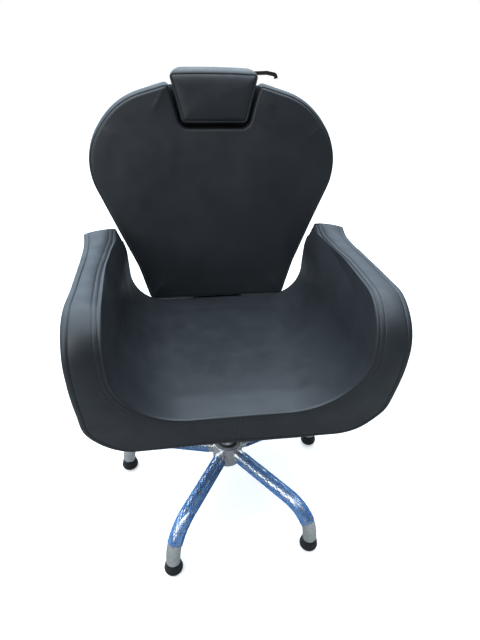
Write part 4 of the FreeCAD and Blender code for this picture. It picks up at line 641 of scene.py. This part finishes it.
# Inside the border the face is a net of triangles
last = border[-1]
ring_size = len(last)
across, upwards = np.arange(-360, 361, FACE_PITCH), np.arange(-20, 571, FACE_PITCH)
grid = np.stack(np.meshgrid(across, upwards), axis=-1).reshape(-1, 2)
within, gap = inside_outline(grid, last)
keep = within & (gap > 5)
grid, gap = grid[keep], gap[keep]
spread = [Vector(p) for p in np.concatenate([last, grid])]
loop = [(k, (k + 1) % ring_size) for k in range(ring_size)]
found = delaunay_2d_cdt(spread, loop, [], 1, 0.0001)
source = [origin[0] for origin in found[3]]
first_inner = (len(border) - 1) * ring_size
flat = np.concatenate([border.reshape(-1, 2), grid])
depth = np.concatenate([depths.ravel(), FACE_DEPTH - FACE_CROWN * (1 - np.exp(-gap / FACE_SPREAD))])
faces = ring_faces(len(border), ring_size)
faces += [tuple(first_inner + source[v] for v in face) for face in found[2]]
depth = even_depths(flat, depth, faces, FIRST_FREE_RING * ring_size)
faces.append(tuple(range(ring_size)))
back_cover = new_object("back_cover", back_point(flat[:, 0], depth, flat[:, 1]), faces, "back")
recalc_outwards(back_cover)



def wrinkle(obj, layers):
    """Move a cover's points along its normals by layers of (height, scale, seed)."""
    points = get_points(obj)
    swell = sum(height * smooth_noise(points, scale, seed) for height, scale, seed in layers)
    set_points(obj, points + vertex_normals(obj) * swell[:, None])


wrinkle(back_cover, [(0.0011, 7.0, 3), (0.0003, 26.0, 4)])
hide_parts("back_pad")

# Black lining behind the notch, in front of the board
lining_corners = full_corners([(88.0, 449.0, 10.0, 1), (127.0, 552.5, 4.0, 1)])
lining_rings = []
for inset, depth in ((0.5, 55.0), (0.0, 54.6), (0.0, 54.0), (0.6, 53.7)):
    ring = outline_ring(lining_corners, inset, [8, 8, 8, 8], [30, 60, 30, 60])
    lining_rings.append(back_point(ring[:, 0], depth, ring[:, 1]))
lining = stack_rings("notch_lining", lining_rings, "back")

# Head rest pad: its lower and upper corners (x, height up the back, radius), which move as it gets deeper
HEAD_LOW, HEAD_TOP = (82.0, 463.0, 14.0), (114.0, 575.5, 10.0)
HEAD_NARROWING, HEAD_REAR_RISE, HEAD_REAR_RADIUS = 11.0, 16.5, 12.0
HEAD_CROWN = 3.0
HEAD_BORDER = [(24, 40.0), (12, 39.8), (7, 38.6), (3.6, 35.5), (1.4, 30), (0.3, 22), (0, 13), (0.4, 6),
               (1.4, 1.0), (3.2, -2.4), (5.2, -3.6), (6.2, -3.3), (6.9, -2.4), (7.6, -3.2), (8.6, -4.8),
               (10.5, -6.0), (14, -7.4), (20, -8.8), (28, -9.8)]
HEAD_POLE = np.array([0.0, 525.0])


def head_ring(inset, depth):
    """The head rest's outline at a depth behind the back's face, moved inwards."""
    share = min(max((depth + 8) / 48, 0), 1)
    top = (HEAD_TOP[0] - HEAD_NARROWING * share, HEAD_TOP[1] + HEAD_REAR_RISE * share,
           HEAD_TOP[2] + HEAD_REAR_RADIUS * share, 1)
    ring = outline_ring(full_corners([(*HEAD_LOW, 1), top]), inset, [12, 14, 14, 12], [40, 60, 40, 60], 4.0)
    up = np.clip((ring[:, 1] - 480) / 103, 0, 1)
    ring[:, 1] += HEAD_CROWN * up * (1 - (ring[:, 0] / 115) ** 2)
    return ring


head_rings = []
for inset, depth in HEAD_BORDER:
    ring = head_ring(inset, depth)
    head_rings.append(back_point(ring[:, 0], depth, ring[:, 1]))
face_inset, face_depth = HEAD_BORDER[-1]
head_last = head_ring(face_inset, face_depth)
for shrink in np.linspace(0, 1, 16)[1:-1]:
    ring = HEAD_POLE + (head_last - HEAD_POLE) * (1 - shrink)
    head_rings.append(back_point(ring[:, 0], face_depth - 1.2 * math.sin(shrink * math.pi / 2), ring[:, 1]))
head_cover = stack_rings("head_cover", head_rings, "head_rest")
wrinkle(head_cover, [(0.0008, 16.0, 5), (0.0003, 50.0, 6)])
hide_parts("head_pad")


def soft_copy(name, node, voxel, body):
    """A cover with an even mesh, made from a soft solid's own mesh."""
    obj = in_scene(name, frame["nodes"][node].data.copy())
    work = bmesh.new()
    work.from_mesh(obj.data)
    bmesh.ops.remove_doubles(work, verts=work.verts, dist=0.00001)
    work.to_mesh(obj.data)
    work.free()
    remesh = obj.modifiers.new("even", "REMESH")
    remesh.mode = "VOXEL"
    remesh.voxel_size = voxel
    evaluated = obj.evaluated_get(bpy.context.evaluated_depsgraph_get())
    mesh = bpy.data.meshes.new_from_object(evaluated)
    obj.modifiers.clear()
    obj.data = mesh
    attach(obj, body)
    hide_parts(node)
    return obj


def swell_cloth(obj, pressure, cap, frames=20):
    """Inflate a pad with cloth pressure, keep each point's move under the cap, and keep no modifier."""
    before = get_points(obj)
    cloth = obj.modifiers.new("swell", "CLOTH")
    cloth.settings.use_pressure = True
    cloth.settings.uniform_pressure_force = pressure
    cloth.settings.effector_weights.gravity = 0
    cloth.settings.quality = 4
    cloth.collision_settings.use_collision = False
    cloth.point_cache.frame_start = 1
    cloth.point_cache.frame_end = frames
    for number in range(1, frames + 1):
        bpy.context.scene.frame_set(number)
    evaluated = obj.evaluated_get(bpy.context.evaluated_depsgraph_get())
    after = np.empty(len(evaluated.data.vertices) * 3)
    evaluated.data.vertices.foreach_get("co", after)
    move = after.reshape(-1, 3) - before
    size = np.linalg.norm(move, axis=1, keepdims=True)
    move *= np.minimum(1, cap / np.maximum(size, 1e-9))
    obj.modifiers.clear()
    set_points(obj, before + move)
    bpy.context.scene.frame_set(1)


# Rear pad of the back, swollen from its CAD solid
rear_cover = soft_copy("back_rear_cover", "back_rear_pad", 0.004, "back")
swell_cloth(rear_cover, 4.0, 0.0025)
smooth = rear_cover.modifiers.new("smooth", "SMOOTH")
smooth.iterations = 3
shade_smooth(rear_cover.data)


def tube_mesh(paths, radius, sides, taper=False):
    """Round threads along paths, in one mesh."""
    verts, faces = [], []
    for path in paths:
        path = np.asarray(path, float)
        tangents = np.gradient(path, axis=0)
        tangents /= np.linalg.norm(tangents, axis=1, keepdims=True)
        guide = np.array([0.0, 0.0, 1.0])
        if abs(tangents[0] @ guide) > 0.9:
            guide = np.array([1.0, 0.0, 0.0])
        start = len(verts)
        count = len(path)
        side = np.cross(tangents[0], guide)
        for k in range(count):
            side = side - tangents[k] * (side @ tangents[k])
            side /= np.linalg.norm(side)
            other = np.cross(tangents[k], side)
            size = radius * (0.55 if taper and k in (0, count - 1) else 1.0)
            for j in range(sides):
                angle = 2 * math.pi * j / sides
                verts.append(path[k] + size * (side * math.cos(angle) + other * math.sin(angle)))
        for k in range(count - 1):
            for j in range(sides):
                a = start + k * sides + j
                b = start + k * sides + (j + 1) % sides
                faces.append((a, b, b + sides, a + sides))
        faces.append(tuple(start + j for j in reversed(range(sides))))
        faces.append(tuple(start + (count - 1) * sides + j for j in range(sides)))
    return verts, faces


def stitch_paths(line_points, line_normals, length, gap, height):
    """Short arched threads along a line on a surface, in metres."""
    run = run_along(line_points)
    paths = []
    place = gap / 2
    while place + length < run[-1]:
        marks = place + length * np.array([0, 0.2, 0.5, 0.8, 1.0])
        lifts = height * np.array([-0.9, 0.5, 0.8, 0.5, -0.9])
        at = np.stack([np.interp(marks, run, line_points[:, k]) for k in range(3)], 1)
        up = np.stack([np.interp(marks, run, line_normals[:, k]) for k in range(3)], 1)
        up /= np.linalg.norm(up, axis=1, keepdims=True)
        paths.append(at + up * lifts[:, None])
        place += length + gap
    return paths


def column_line(place):
    """Points and normals of the padded tub along a line at a ring distance given per column."""
    at, up = [], []
    for c in range(cover_columns):
        run = ring_run[c]
        total = ring_length[c, 0]
        target = place[c, 0] % total
        wrapped = np.concatenate([run, [total]])
        ring = np.concatenate([padded[c], padded[c][:1]])
        norm = np.concatenate([tub_normals[c], tub_normals[c][:1]])
        at.append([np.interp(target, wrapped, ring[:, k]) for k in range(3)])
        up.append([np.interp(target, wrapped, norm[:, k]) for k in range(3)])
    return np.array(at) * MM, np.array(up)


# Stitching
threads = []
for place in (seam_inner - 1.9, seam_twin + 0.2, seam_outer - 0.2):
    at, up = column_line(place)
    threads += stitch_paths(at, up, 0.0038, 0.0014, 0.0004)
verts, faces = tube_mesh(threads, 0.00042, 6, True)
tub_thread = new_object("tub_stitching", verts, faces, "seat")


def ring_stitches(name, ring, depth, body):
    """Stitches along a seam round a face of the back or the head rest."""
    at = back_point(ring[:, 0], depth, ring[:, 1])
    closed_at = np.concatenate([at, at[:1]])
    face_normal = -(back_point(0, 1, 0) - back_point(0, 0, 0)) / MM
    up = np.repeat(face_normal[None, :], len(closed_at), axis=0)
    paths = stitch_paths(closed_at, up, 0.0036, 0.0013, 0.0004)
    verts, faces = tube_mesh(paths, 0.0004, 6, True)
    return new_object(name, verts, faces, body)


back_thread = ring_stitches("back_stitching", border_ring(6.9), 10.4, "back")
head_thread = ring_stitches("head_stitching", head_ring(6.9, -2.4), -2.6, "head_rest")

# Packing net round each leg: the leg's centreline, and the net's crossing strands
LEG_HEADING = 93.3
LEG_COUNT = 5
LEG = dict(foot=299.0, root=136.5, droop=math.radians(1.6), bend=80.0, end=math.radians(81.6), low=38.0,
           start=52.0, stop=math.radians(60.0))
NET_RADIUS = 18.15
NET_STRANDS = 24
NET_TWIST = 0.40 / 18.0


def leg_centreline(stop_angle, step):
    """Points (radius, height) of a leg's centreline from the net's start to an angle of its bend."""
    droop, end, bend = LEG["droop"], LEG["end"], LEG["bend"]
    reach = bend * (math.sin(end) - math.sin(droop))
    drop = bend * (math.cos(droop) - math.cos(end))
    slope = -math.tan(droop)
    above_foot = LEG["root"] + slope * (LEG["foot"] - reach) - drop - LEG["low"]
    tail = above_foot / (math.sin(end) + slope * math.cos(end))
    bend_start = LEG["foot"] - tail * math.cos(end) - reach
    height = LEG["root"] + slope * bend_start
    straight = np.arange(LEG["start"], bend_start, step)
    points = [(r, LEG["root"] + slope * r) for r in straight]
    centre = (bend_start - bend * math.sin(droop), height - bend * math.cos(droop))
    for angle in np.arange(droop, stop_angle, step / bend):
        points.append((centre[0] + bend * math.sin(angle), centre[1] + bend * math.cos(angle)))
    return np.array(points)


def leg_net(index):
    """The net round one leg: strands that wind both ways."""
    line = leg_centreline(LEG["stop"], 2.4)
    heading = math.radians(LEG_HEADING + 360 / LEG_COUNT * index)
    run = run_along(line)
    tangent = np.gradient(line, axis=0)
    tangent /= np.linalg.norm(tangent, axis=1, keepdims=True)
    up2 = np.stack([-tangent[:, 1], tangent[:, 0]], 1)
    out = np.array([math.cos(heading), math.sin(heading), 0.0])
    side = np.array([-math.sin(heading), math.cos(heading), 0.0])
    up_axis = np.array([0.0, 0.0, 1.0])
    centre = line[:, 0:1] * out + line[:, 1:2] * up_axis
    up = up2[:, 0:1] * out + up2[:, 1:2] * up_axis
    paths = []
    for turn in (1, -1):
        for strand in range(NET_STRANDS):
            start = 2 * math.pi * (strand + 0.5 * (turn < 0)) / NET_STRANDS
            wander = 0.09 * np.sin(run / 27.0 + strand * 1.7 + index)
            wander += 0.05 * np.sin(run / 9.0 + strand * 2.9)
            angle = start + turn * NET_TWIST * run + wander
            radius = NET_RADIUS + 0.3 * turn
            path = centre + radius * (np.cos(angle)[:, None] * up + np.sin(angle)[:, None] * side)
            paths.append(path * MM)
    verts, faces = tube_mesh(paths, 0.00062, 5)
    net = new_object("leg_net_%d" % (index + 1), verts, faces, "base")
    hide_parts("leg_sleeve_%d" % (index + 1))
    return net


nets = [leg_net(index) for index in range(LEG_COUNT)]


def material(name):
    """A new material with its shader and its object coordinates."""
    mat = bpy.data.materials.new(name)
    mat.use_nodes = True
    tree = mat.node_tree
    shader = tree.nodes["Principled BSDF"]
    coords = tree.nodes.new("ShaderNodeTexCoord")
    return mat, tree, shader, coords.outputs["Object"]


def add(tree, kind, **values):
    """A new node with settings or input values."""
    node = tree.nodes.new(kind)
    for key, value in values.items():
        if hasattr(node, key):
            setattr(node, key, value)
        else:
            node.inputs[key].default_value = value
    return node


def texture(tree, kind, coords, scale, **values):
    node = add(tree, kind, **values)
    node.inputs["Scale"].default_value = scale
    tree.links.new(coords, node.inputs["Vector"])
    return node


def clouds(tree, coords, scale, detail):
    """Soft noise, as a value."""
    return texture(tree, "ShaderNodeTexNoise", coords, scale, Detail=detail).outputs["Fac"]


def ramp(tree, source, low, high, start=0.3, end=0.7):
    """A colour between low and high for a source value."""
    node = tree.nodes.new("ShaderNodeValToRGB")
    node.color_ramp.elements[0].position = start
    node.color_ramp.elements[1].position = end
    node.color_ramp.elements[0].color = (*low, 1)
    node.color_ramp.elements[1].color = (*high, 1)
    tree.links.new(source, node.inputs["Fac"])
    return node


def level(tree, source, low, high, start=0.3, end=0.7):
    """A number between low and high for a source value."""
    node = tree.nodes.new("ShaderNodeMapRange")
    node.inputs["From Min"].default_value = start
    node.inputs["From Max"].default_value = end
    node.inputs["To Min"].default_value = low
    node.inputs["To Max"].default_value = high
    tree.links.new(source, node.inputs["Value"])
    return node


def bump(tree, source, strength, distance, before=None):
    node = tree.nodes.new("ShaderNodeBump")
    node.inputs["Strength"].default_value = strength
    node.inputs["Distance"].default_value = distance
    tree.links.new(source, node.inputs["Height"])
    if before is not None:
        tree.links.new(before.outputs["Normal"], node.inputs["Normal"])
    return node


def surface(tree, shader, colour, gloss, relief):
    """Connect a shader's colour, roughness and relief."""
    tree.links.new(colour, shader.inputs["Base Color"])
    tree.links.new(gloss.outputs["Result"], shader.inputs["Roughness"])
    tree.links.new(relief.outputs["Normal"], shader.inputs["Normal"])


def leather(name, low, high, rough):
    """Synthetic leather with pores, creases, smudges and lighter worn edges."""
    mat, tree, shader, coords = material(name)
    tint = ramp(tree, clouds(tree, coords, 9.0, 4.0), low, high)
    edge = tree.nodes.new("ShaderNodeNewGeometry")
    wear = level(tree, edge.outputs["Pointiness"], 0.0, 0.28, 0.52, 0.62)
    worn = add(tree, "ShaderNodeMix", data_type="RGBA")
    tree.links.new(wear.outputs["Result"], worn.inputs["Factor"])
    tree.links.new(tint.outputs["Color"], worn.inputs[6])
    worn.inputs[7].default_value = (high[0] * 2.2, high[1] * 2.2, high[2] * 2.2, 1)
    gloss = level(tree, clouds(tree, coords, 26.0, 6.0), rough - 0.05, rough + 0.07)
    grain = texture(tree, "ShaderNodeTexVoronoi", coords, 850.0, feature="SMOOTH_F1")
    first = bump(tree, grain.outputs["Distance"], 0.16, 0.0004)
    second = bump(tree, clouds(tree, coords, 520.0, 3.0), 0.12, 0.0003, first)
    third = bump(tree, clouds(tree, coords, 70.0, 8.0), 0.10, 0.0012, second)
    surface(tree, shader, worn.outputs[2], gloss, third)
    shader.inputs["Specular IOR Level"].default_value = 0.54
    return mat


def metal(name, low, high, rough, scale, metallic=1.0):
    """Metal with clouded colour and fine scratches."""
    mat, tree, shader, coords = material(name)
    tint = ramp(tree, clouds(tree, coords, scale, 5.0), low, high)
    fine = clouds(tree, coords, scale * 14, 6.0)
    gloss = level(tree, fine, rough * 0.8, rough * 1.3)
    surface(tree, shader, tint.outputs["Color"], gloss, bump(tree, fine, 0.03, 0.0004))
    shader.inputs["Metallic"].default_value = metallic
    return mat


def wood(name):
    """Raw plywood with its fibres along the board."""
    mat, tree, shader, coords = material(name)
    stretch = add(tree, "ShaderNodeMapping")
    stretch.inputs["Scale"].default_value = (1.0, 12.0, 40.0)
    tree.links.new(coords, stretch.inputs["Vector"])
    fibres = clouds(tree, stretch.outputs["Vector"], 7.0, 8.0)
    tint = ramp(tree, fibres, (0.42, 0.27, 0.14), (0.68, 0.50, 0.31))
    tree.links.new(tint.outputs["Color"], shader.inputs["Base Color"])
    tree.links.new(bump(tree, fibres, 0.2, 0.0005).outputs["Normal"], shader.inputs["Normal"])
    shader.inputs["Roughness"].default_value = 0.7
    return mat


def plastic(name, low, high, rough, grain_scale, depth, cloud_scale=30.0):
    """Plastic, rubber or powder coat with a fine grain."""
    mat, tree, shader, coords = material(name)
    cloud = clouds(tree, coords, cloud_scale, 4.0)
    tint = ramp(tree, cloud, low, high)
    gloss = level(tree, cloud, rough - 0.05, rough + 0.08)
    relief = bump(tree, clouds(tree, coords, grain_scale, 3.0), 0.2, depth)
    surface(tree, shader, tint.outputs["Color"], gloss, relief)
    return mat


# One finish for each material slot
finishes = {
    "upholstery": leather("upholstery_leather", (0.022, 0.0245, 0.028), (0.030, 0.033, 0.037), 0.43),
    "plywood": wood("plywood_raw"),
    "leg_chrome": metal("leg_satin_chrome", (0.86, 0.845, 0.81), (0.96, 0.945, 0.91), 0.27, 18.0),
    "bright_chrome": metal("hub_chrome", (0.83, 0.83, 0.83), (0.92, 0.92, 0.92), 0.08, 24.0, 0.75),
    "sleeve_mesh": plastic("net_blue", (0.02, 0.19, 0.60), (0.20, 0.46, 0.86), 0.2, 400.0, 0.0003, 60.0),
    "glide_rubber": plastic("glide_black", (0.012, 0.012, 0.013), (0.024, 0.024, 0.026), 0.42, 700.0, 0.0003),
    "black_plastic": plastic("plastic_black", (0.014, 0.014, 0.015), (0.022, 0.022, 0.024), 0.4, 600.0,
                             0.0002),
    "zinc_steel": metal("zinc_plate", (0.50, 0.51, 0.53), (0.66, 0.67, 0.69), 0.33, 40.0),
    "black_steel": plastic("powder_coat", (0.014, 0.014, 0.015), (0.024, 0.024, 0.026), 0.45, 900.0, 0.0003),
    "handle_black": plastic("handle_coat", (0.020, 0.019, 0.015), (0.035, 0.033, 0.026), 0.35, 500.0, 0.0002),
}
thread_finish = plastic("thread_black", (0.020, 0.021, 0.024), (0.038, 0.040, 0.045), 0.5, 1500.0, 0.0002)

slot_of = {part["node"]: part["material_slot"] for part in frame["record"]["subparts"]}
for name, node in frame["nodes"].items():
    if node.data.materials:
        for place in range(len(node.data.materials)):
            node.data.materials[place] = finishes[slot_of[name]]
    else:
        node.data.materials.append(finishes[slot_of[name]])
frame["nodes"]["head_bar"].data.materials[0] = finishes["black_steel"]
for obj in (cover, back_cover, head_cover, rear_cover, lining):
    obj.data.materials.clear()
    obj.data.materials.append(finishes["upholstery"])
for obj in (tub_thread, back_thread, head_thread):
    obj.data.materials.append(thread_finish)
for net in nets:
    net.data.materials.append(finishes["sleeve_mesh"])

# Floor: grey for the light it throws back, near white to the camera
floor_mesh = bpy.data.meshes.new("floor")
floor_mesh.from_pydata([(-9, -9, 0), (9, -9, 0), (9, 9, 0), (-9, 9, 0)], [], [(0, 1, 2, 3)])
floor = in_scene("floor", floor_mesh)
floor_mat, tree, shader, coords = material("floor_pale")
tint = ramp(tree, clouds(tree, coords, 3.0, 4.0), (0.25, 0.245, 0.24), (0.29, 0.285, 0.28))
tree.links.new(tint.outputs["Color"], shader.inputs["Base Color"])
shader.inputs["Roughness"].default_value = 0.9
shader.inputs["Specular IOR Level"].default_value = 0.1
shown = add(tree, "ShaderNodeBsdfDiffuse")
shown.inputs["Color"].default_value = (0.98, 0.93, 0.89, 1)
glow = add(tree, "ShaderNodeEmission")
glow.inputs["Strength"].default_value = 0.42
white = tree.nodes.new("ShaderNodeAddShader")
tree.links.new(shown.outputs[0], white.inputs[0])
tree.links.new(glow.outputs[0], white.inputs[1])
seen = tree.nodes.new("ShaderNodeLightPath")
choice = tree.nodes.new("ShaderNodeMixShader")
tree.links.new(seen.outputs["Is Camera Ray"], choice.inputs[0])
tree.links.new(shader.outputs[0], choice.inputs[1])
tree.links.new(white.outputs[0], choice.inputs[2])
tree.links.new(choice.outputs[0], tree.nodes["Material Output"].inputs["Surface"])
floor_mesh.materials.append(floor_mat)

# World: white to the camera, a soft sky for the rest
world = bpy.data.worlds.new("studio")
bpy.context.scene.world = world
world.use_nodes = True
tree = world.node_tree
tree.nodes.clear()
output = tree.nodes.new("ShaderNodeOutputWorld")
sky = tree.nodes.new("ShaderNodeBackground")
plain = tree.nodes.new("ShaderNodeBackground")
plain.inputs["Color"].default_value = (1, 1, 1, 1)
direction = tree.nodes.new("ShaderNodeTexCoord")
lean = add(tree, "ShaderNodeVectorMath", operation="DOT_PRODUCT")
lean.inputs[1].default_value = (-0.25, 0.60, 0.76)
tree.links.new(direction.outputs["Generated"], lean.inputs[0])
fade = level(tree, lean.outputs["Value"], 0.0, 1.0, 0.05, 0.85)
cool = add(tree, "ShaderNodeMix", data_type="RGBA")
tree.links.new(fade.outputs["Result"], cool.inputs[0])
cool.inputs[6].default_value = (0.075, 0.075, 0.078, 1)
cool.inputs[7].default_value = (1.25, 1.60, 1.95, 1)
tree.links.new(cool.outputs[2], sky.inputs["Color"])
path = tree.nodes.new("ShaderNodeLightPath")
either = add(tree, "ShaderNodeMath", operation="MAXIMUM")
tree.links.new(path.outputs["Is Camera Ray"], either.inputs[0])
tree.links.new(path.outputs["Is Transmission Ray"], either.inputs[1])
mix = tree.nodes.new("ShaderNodeMixShader")
tree.links.new(either.outputs[0], mix.inputs[0])
tree.links.new(sky.outputs[0], mix.inputs[1])
tree.links.new(plain.outputs[0], mix.inputs[2])
tree.links.new(mix.outputs[0], output.inputs["Surface"])


def area_light(name, place, target, size, power, colour):
    data = bpy.data.lights.new(name, "AREA")
    data.shape = "RECTANGLE"
    data.size, data.size_y = size
    data.energy = power
    data.color = colour
    obj = in_scene(name, data)
    obj.location = place
    obj.rotation_euler = (Vector(target) - Vector(place)).to_track_quat("-Z", "Y").to_euler()


area_light("ceiling_light", (-0.3, 1.2, 3.0), (-0.3, 1.1, 0.5), (4.4, 5.4), 130.0, (0.86, 0.95, 1.0))
area_light("side_light", (-2.2, -1.7, 2.2), (0, 0, 0.7), (2.0, 2.0), 32.0, (0.97, 0.99, 1.0))

# Camera at the photograph's angle
FOCAL_PIXELS, FRAME_PIXELS = 446.0, 640.0
CAMERA_PLACE = (-0.1038, -0.8392, 1.1503)
YAW, PITCH, ROLL = math.radians(8.672), math.radians(34.241), math.radians(1.831)
camera_data = bpy.data.cameras.new("camera")
camera_data.sensor_fit = "VERTICAL"
camera_data.sensor_height = 36.0
camera_data.lens = camera_data.sensor_height * FOCAL_PIXELS / FRAME_PIXELS
camera = in_scene("camera", camera_data)
ahead = Vector((math.sin(YAW) * math.cos(PITCH), math.cos(YAW) * math.cos(PITCH), -math.sin(PITCH)))
level_right = ahead.cross(Vector((0, 0, 1))).normalized()
level_up = level_right.cross(ahead)
right_axis = level_right * math.cos(ROLL) + level_up * math.sin(ROLL)
up_axis = -level_right * math.sin(ROLL) + level_up * math.cos(ROLL)
turn = Matrix((right_axis, up_axis, -ahead)).transposed().to_4x4()
camera.matrix_world = Matrix.Translation(CAMERA_PLACE) @ turn
bpy.context.scene.camera = camera
bpy.context.scene.view_settings.view_transform = "Standard"
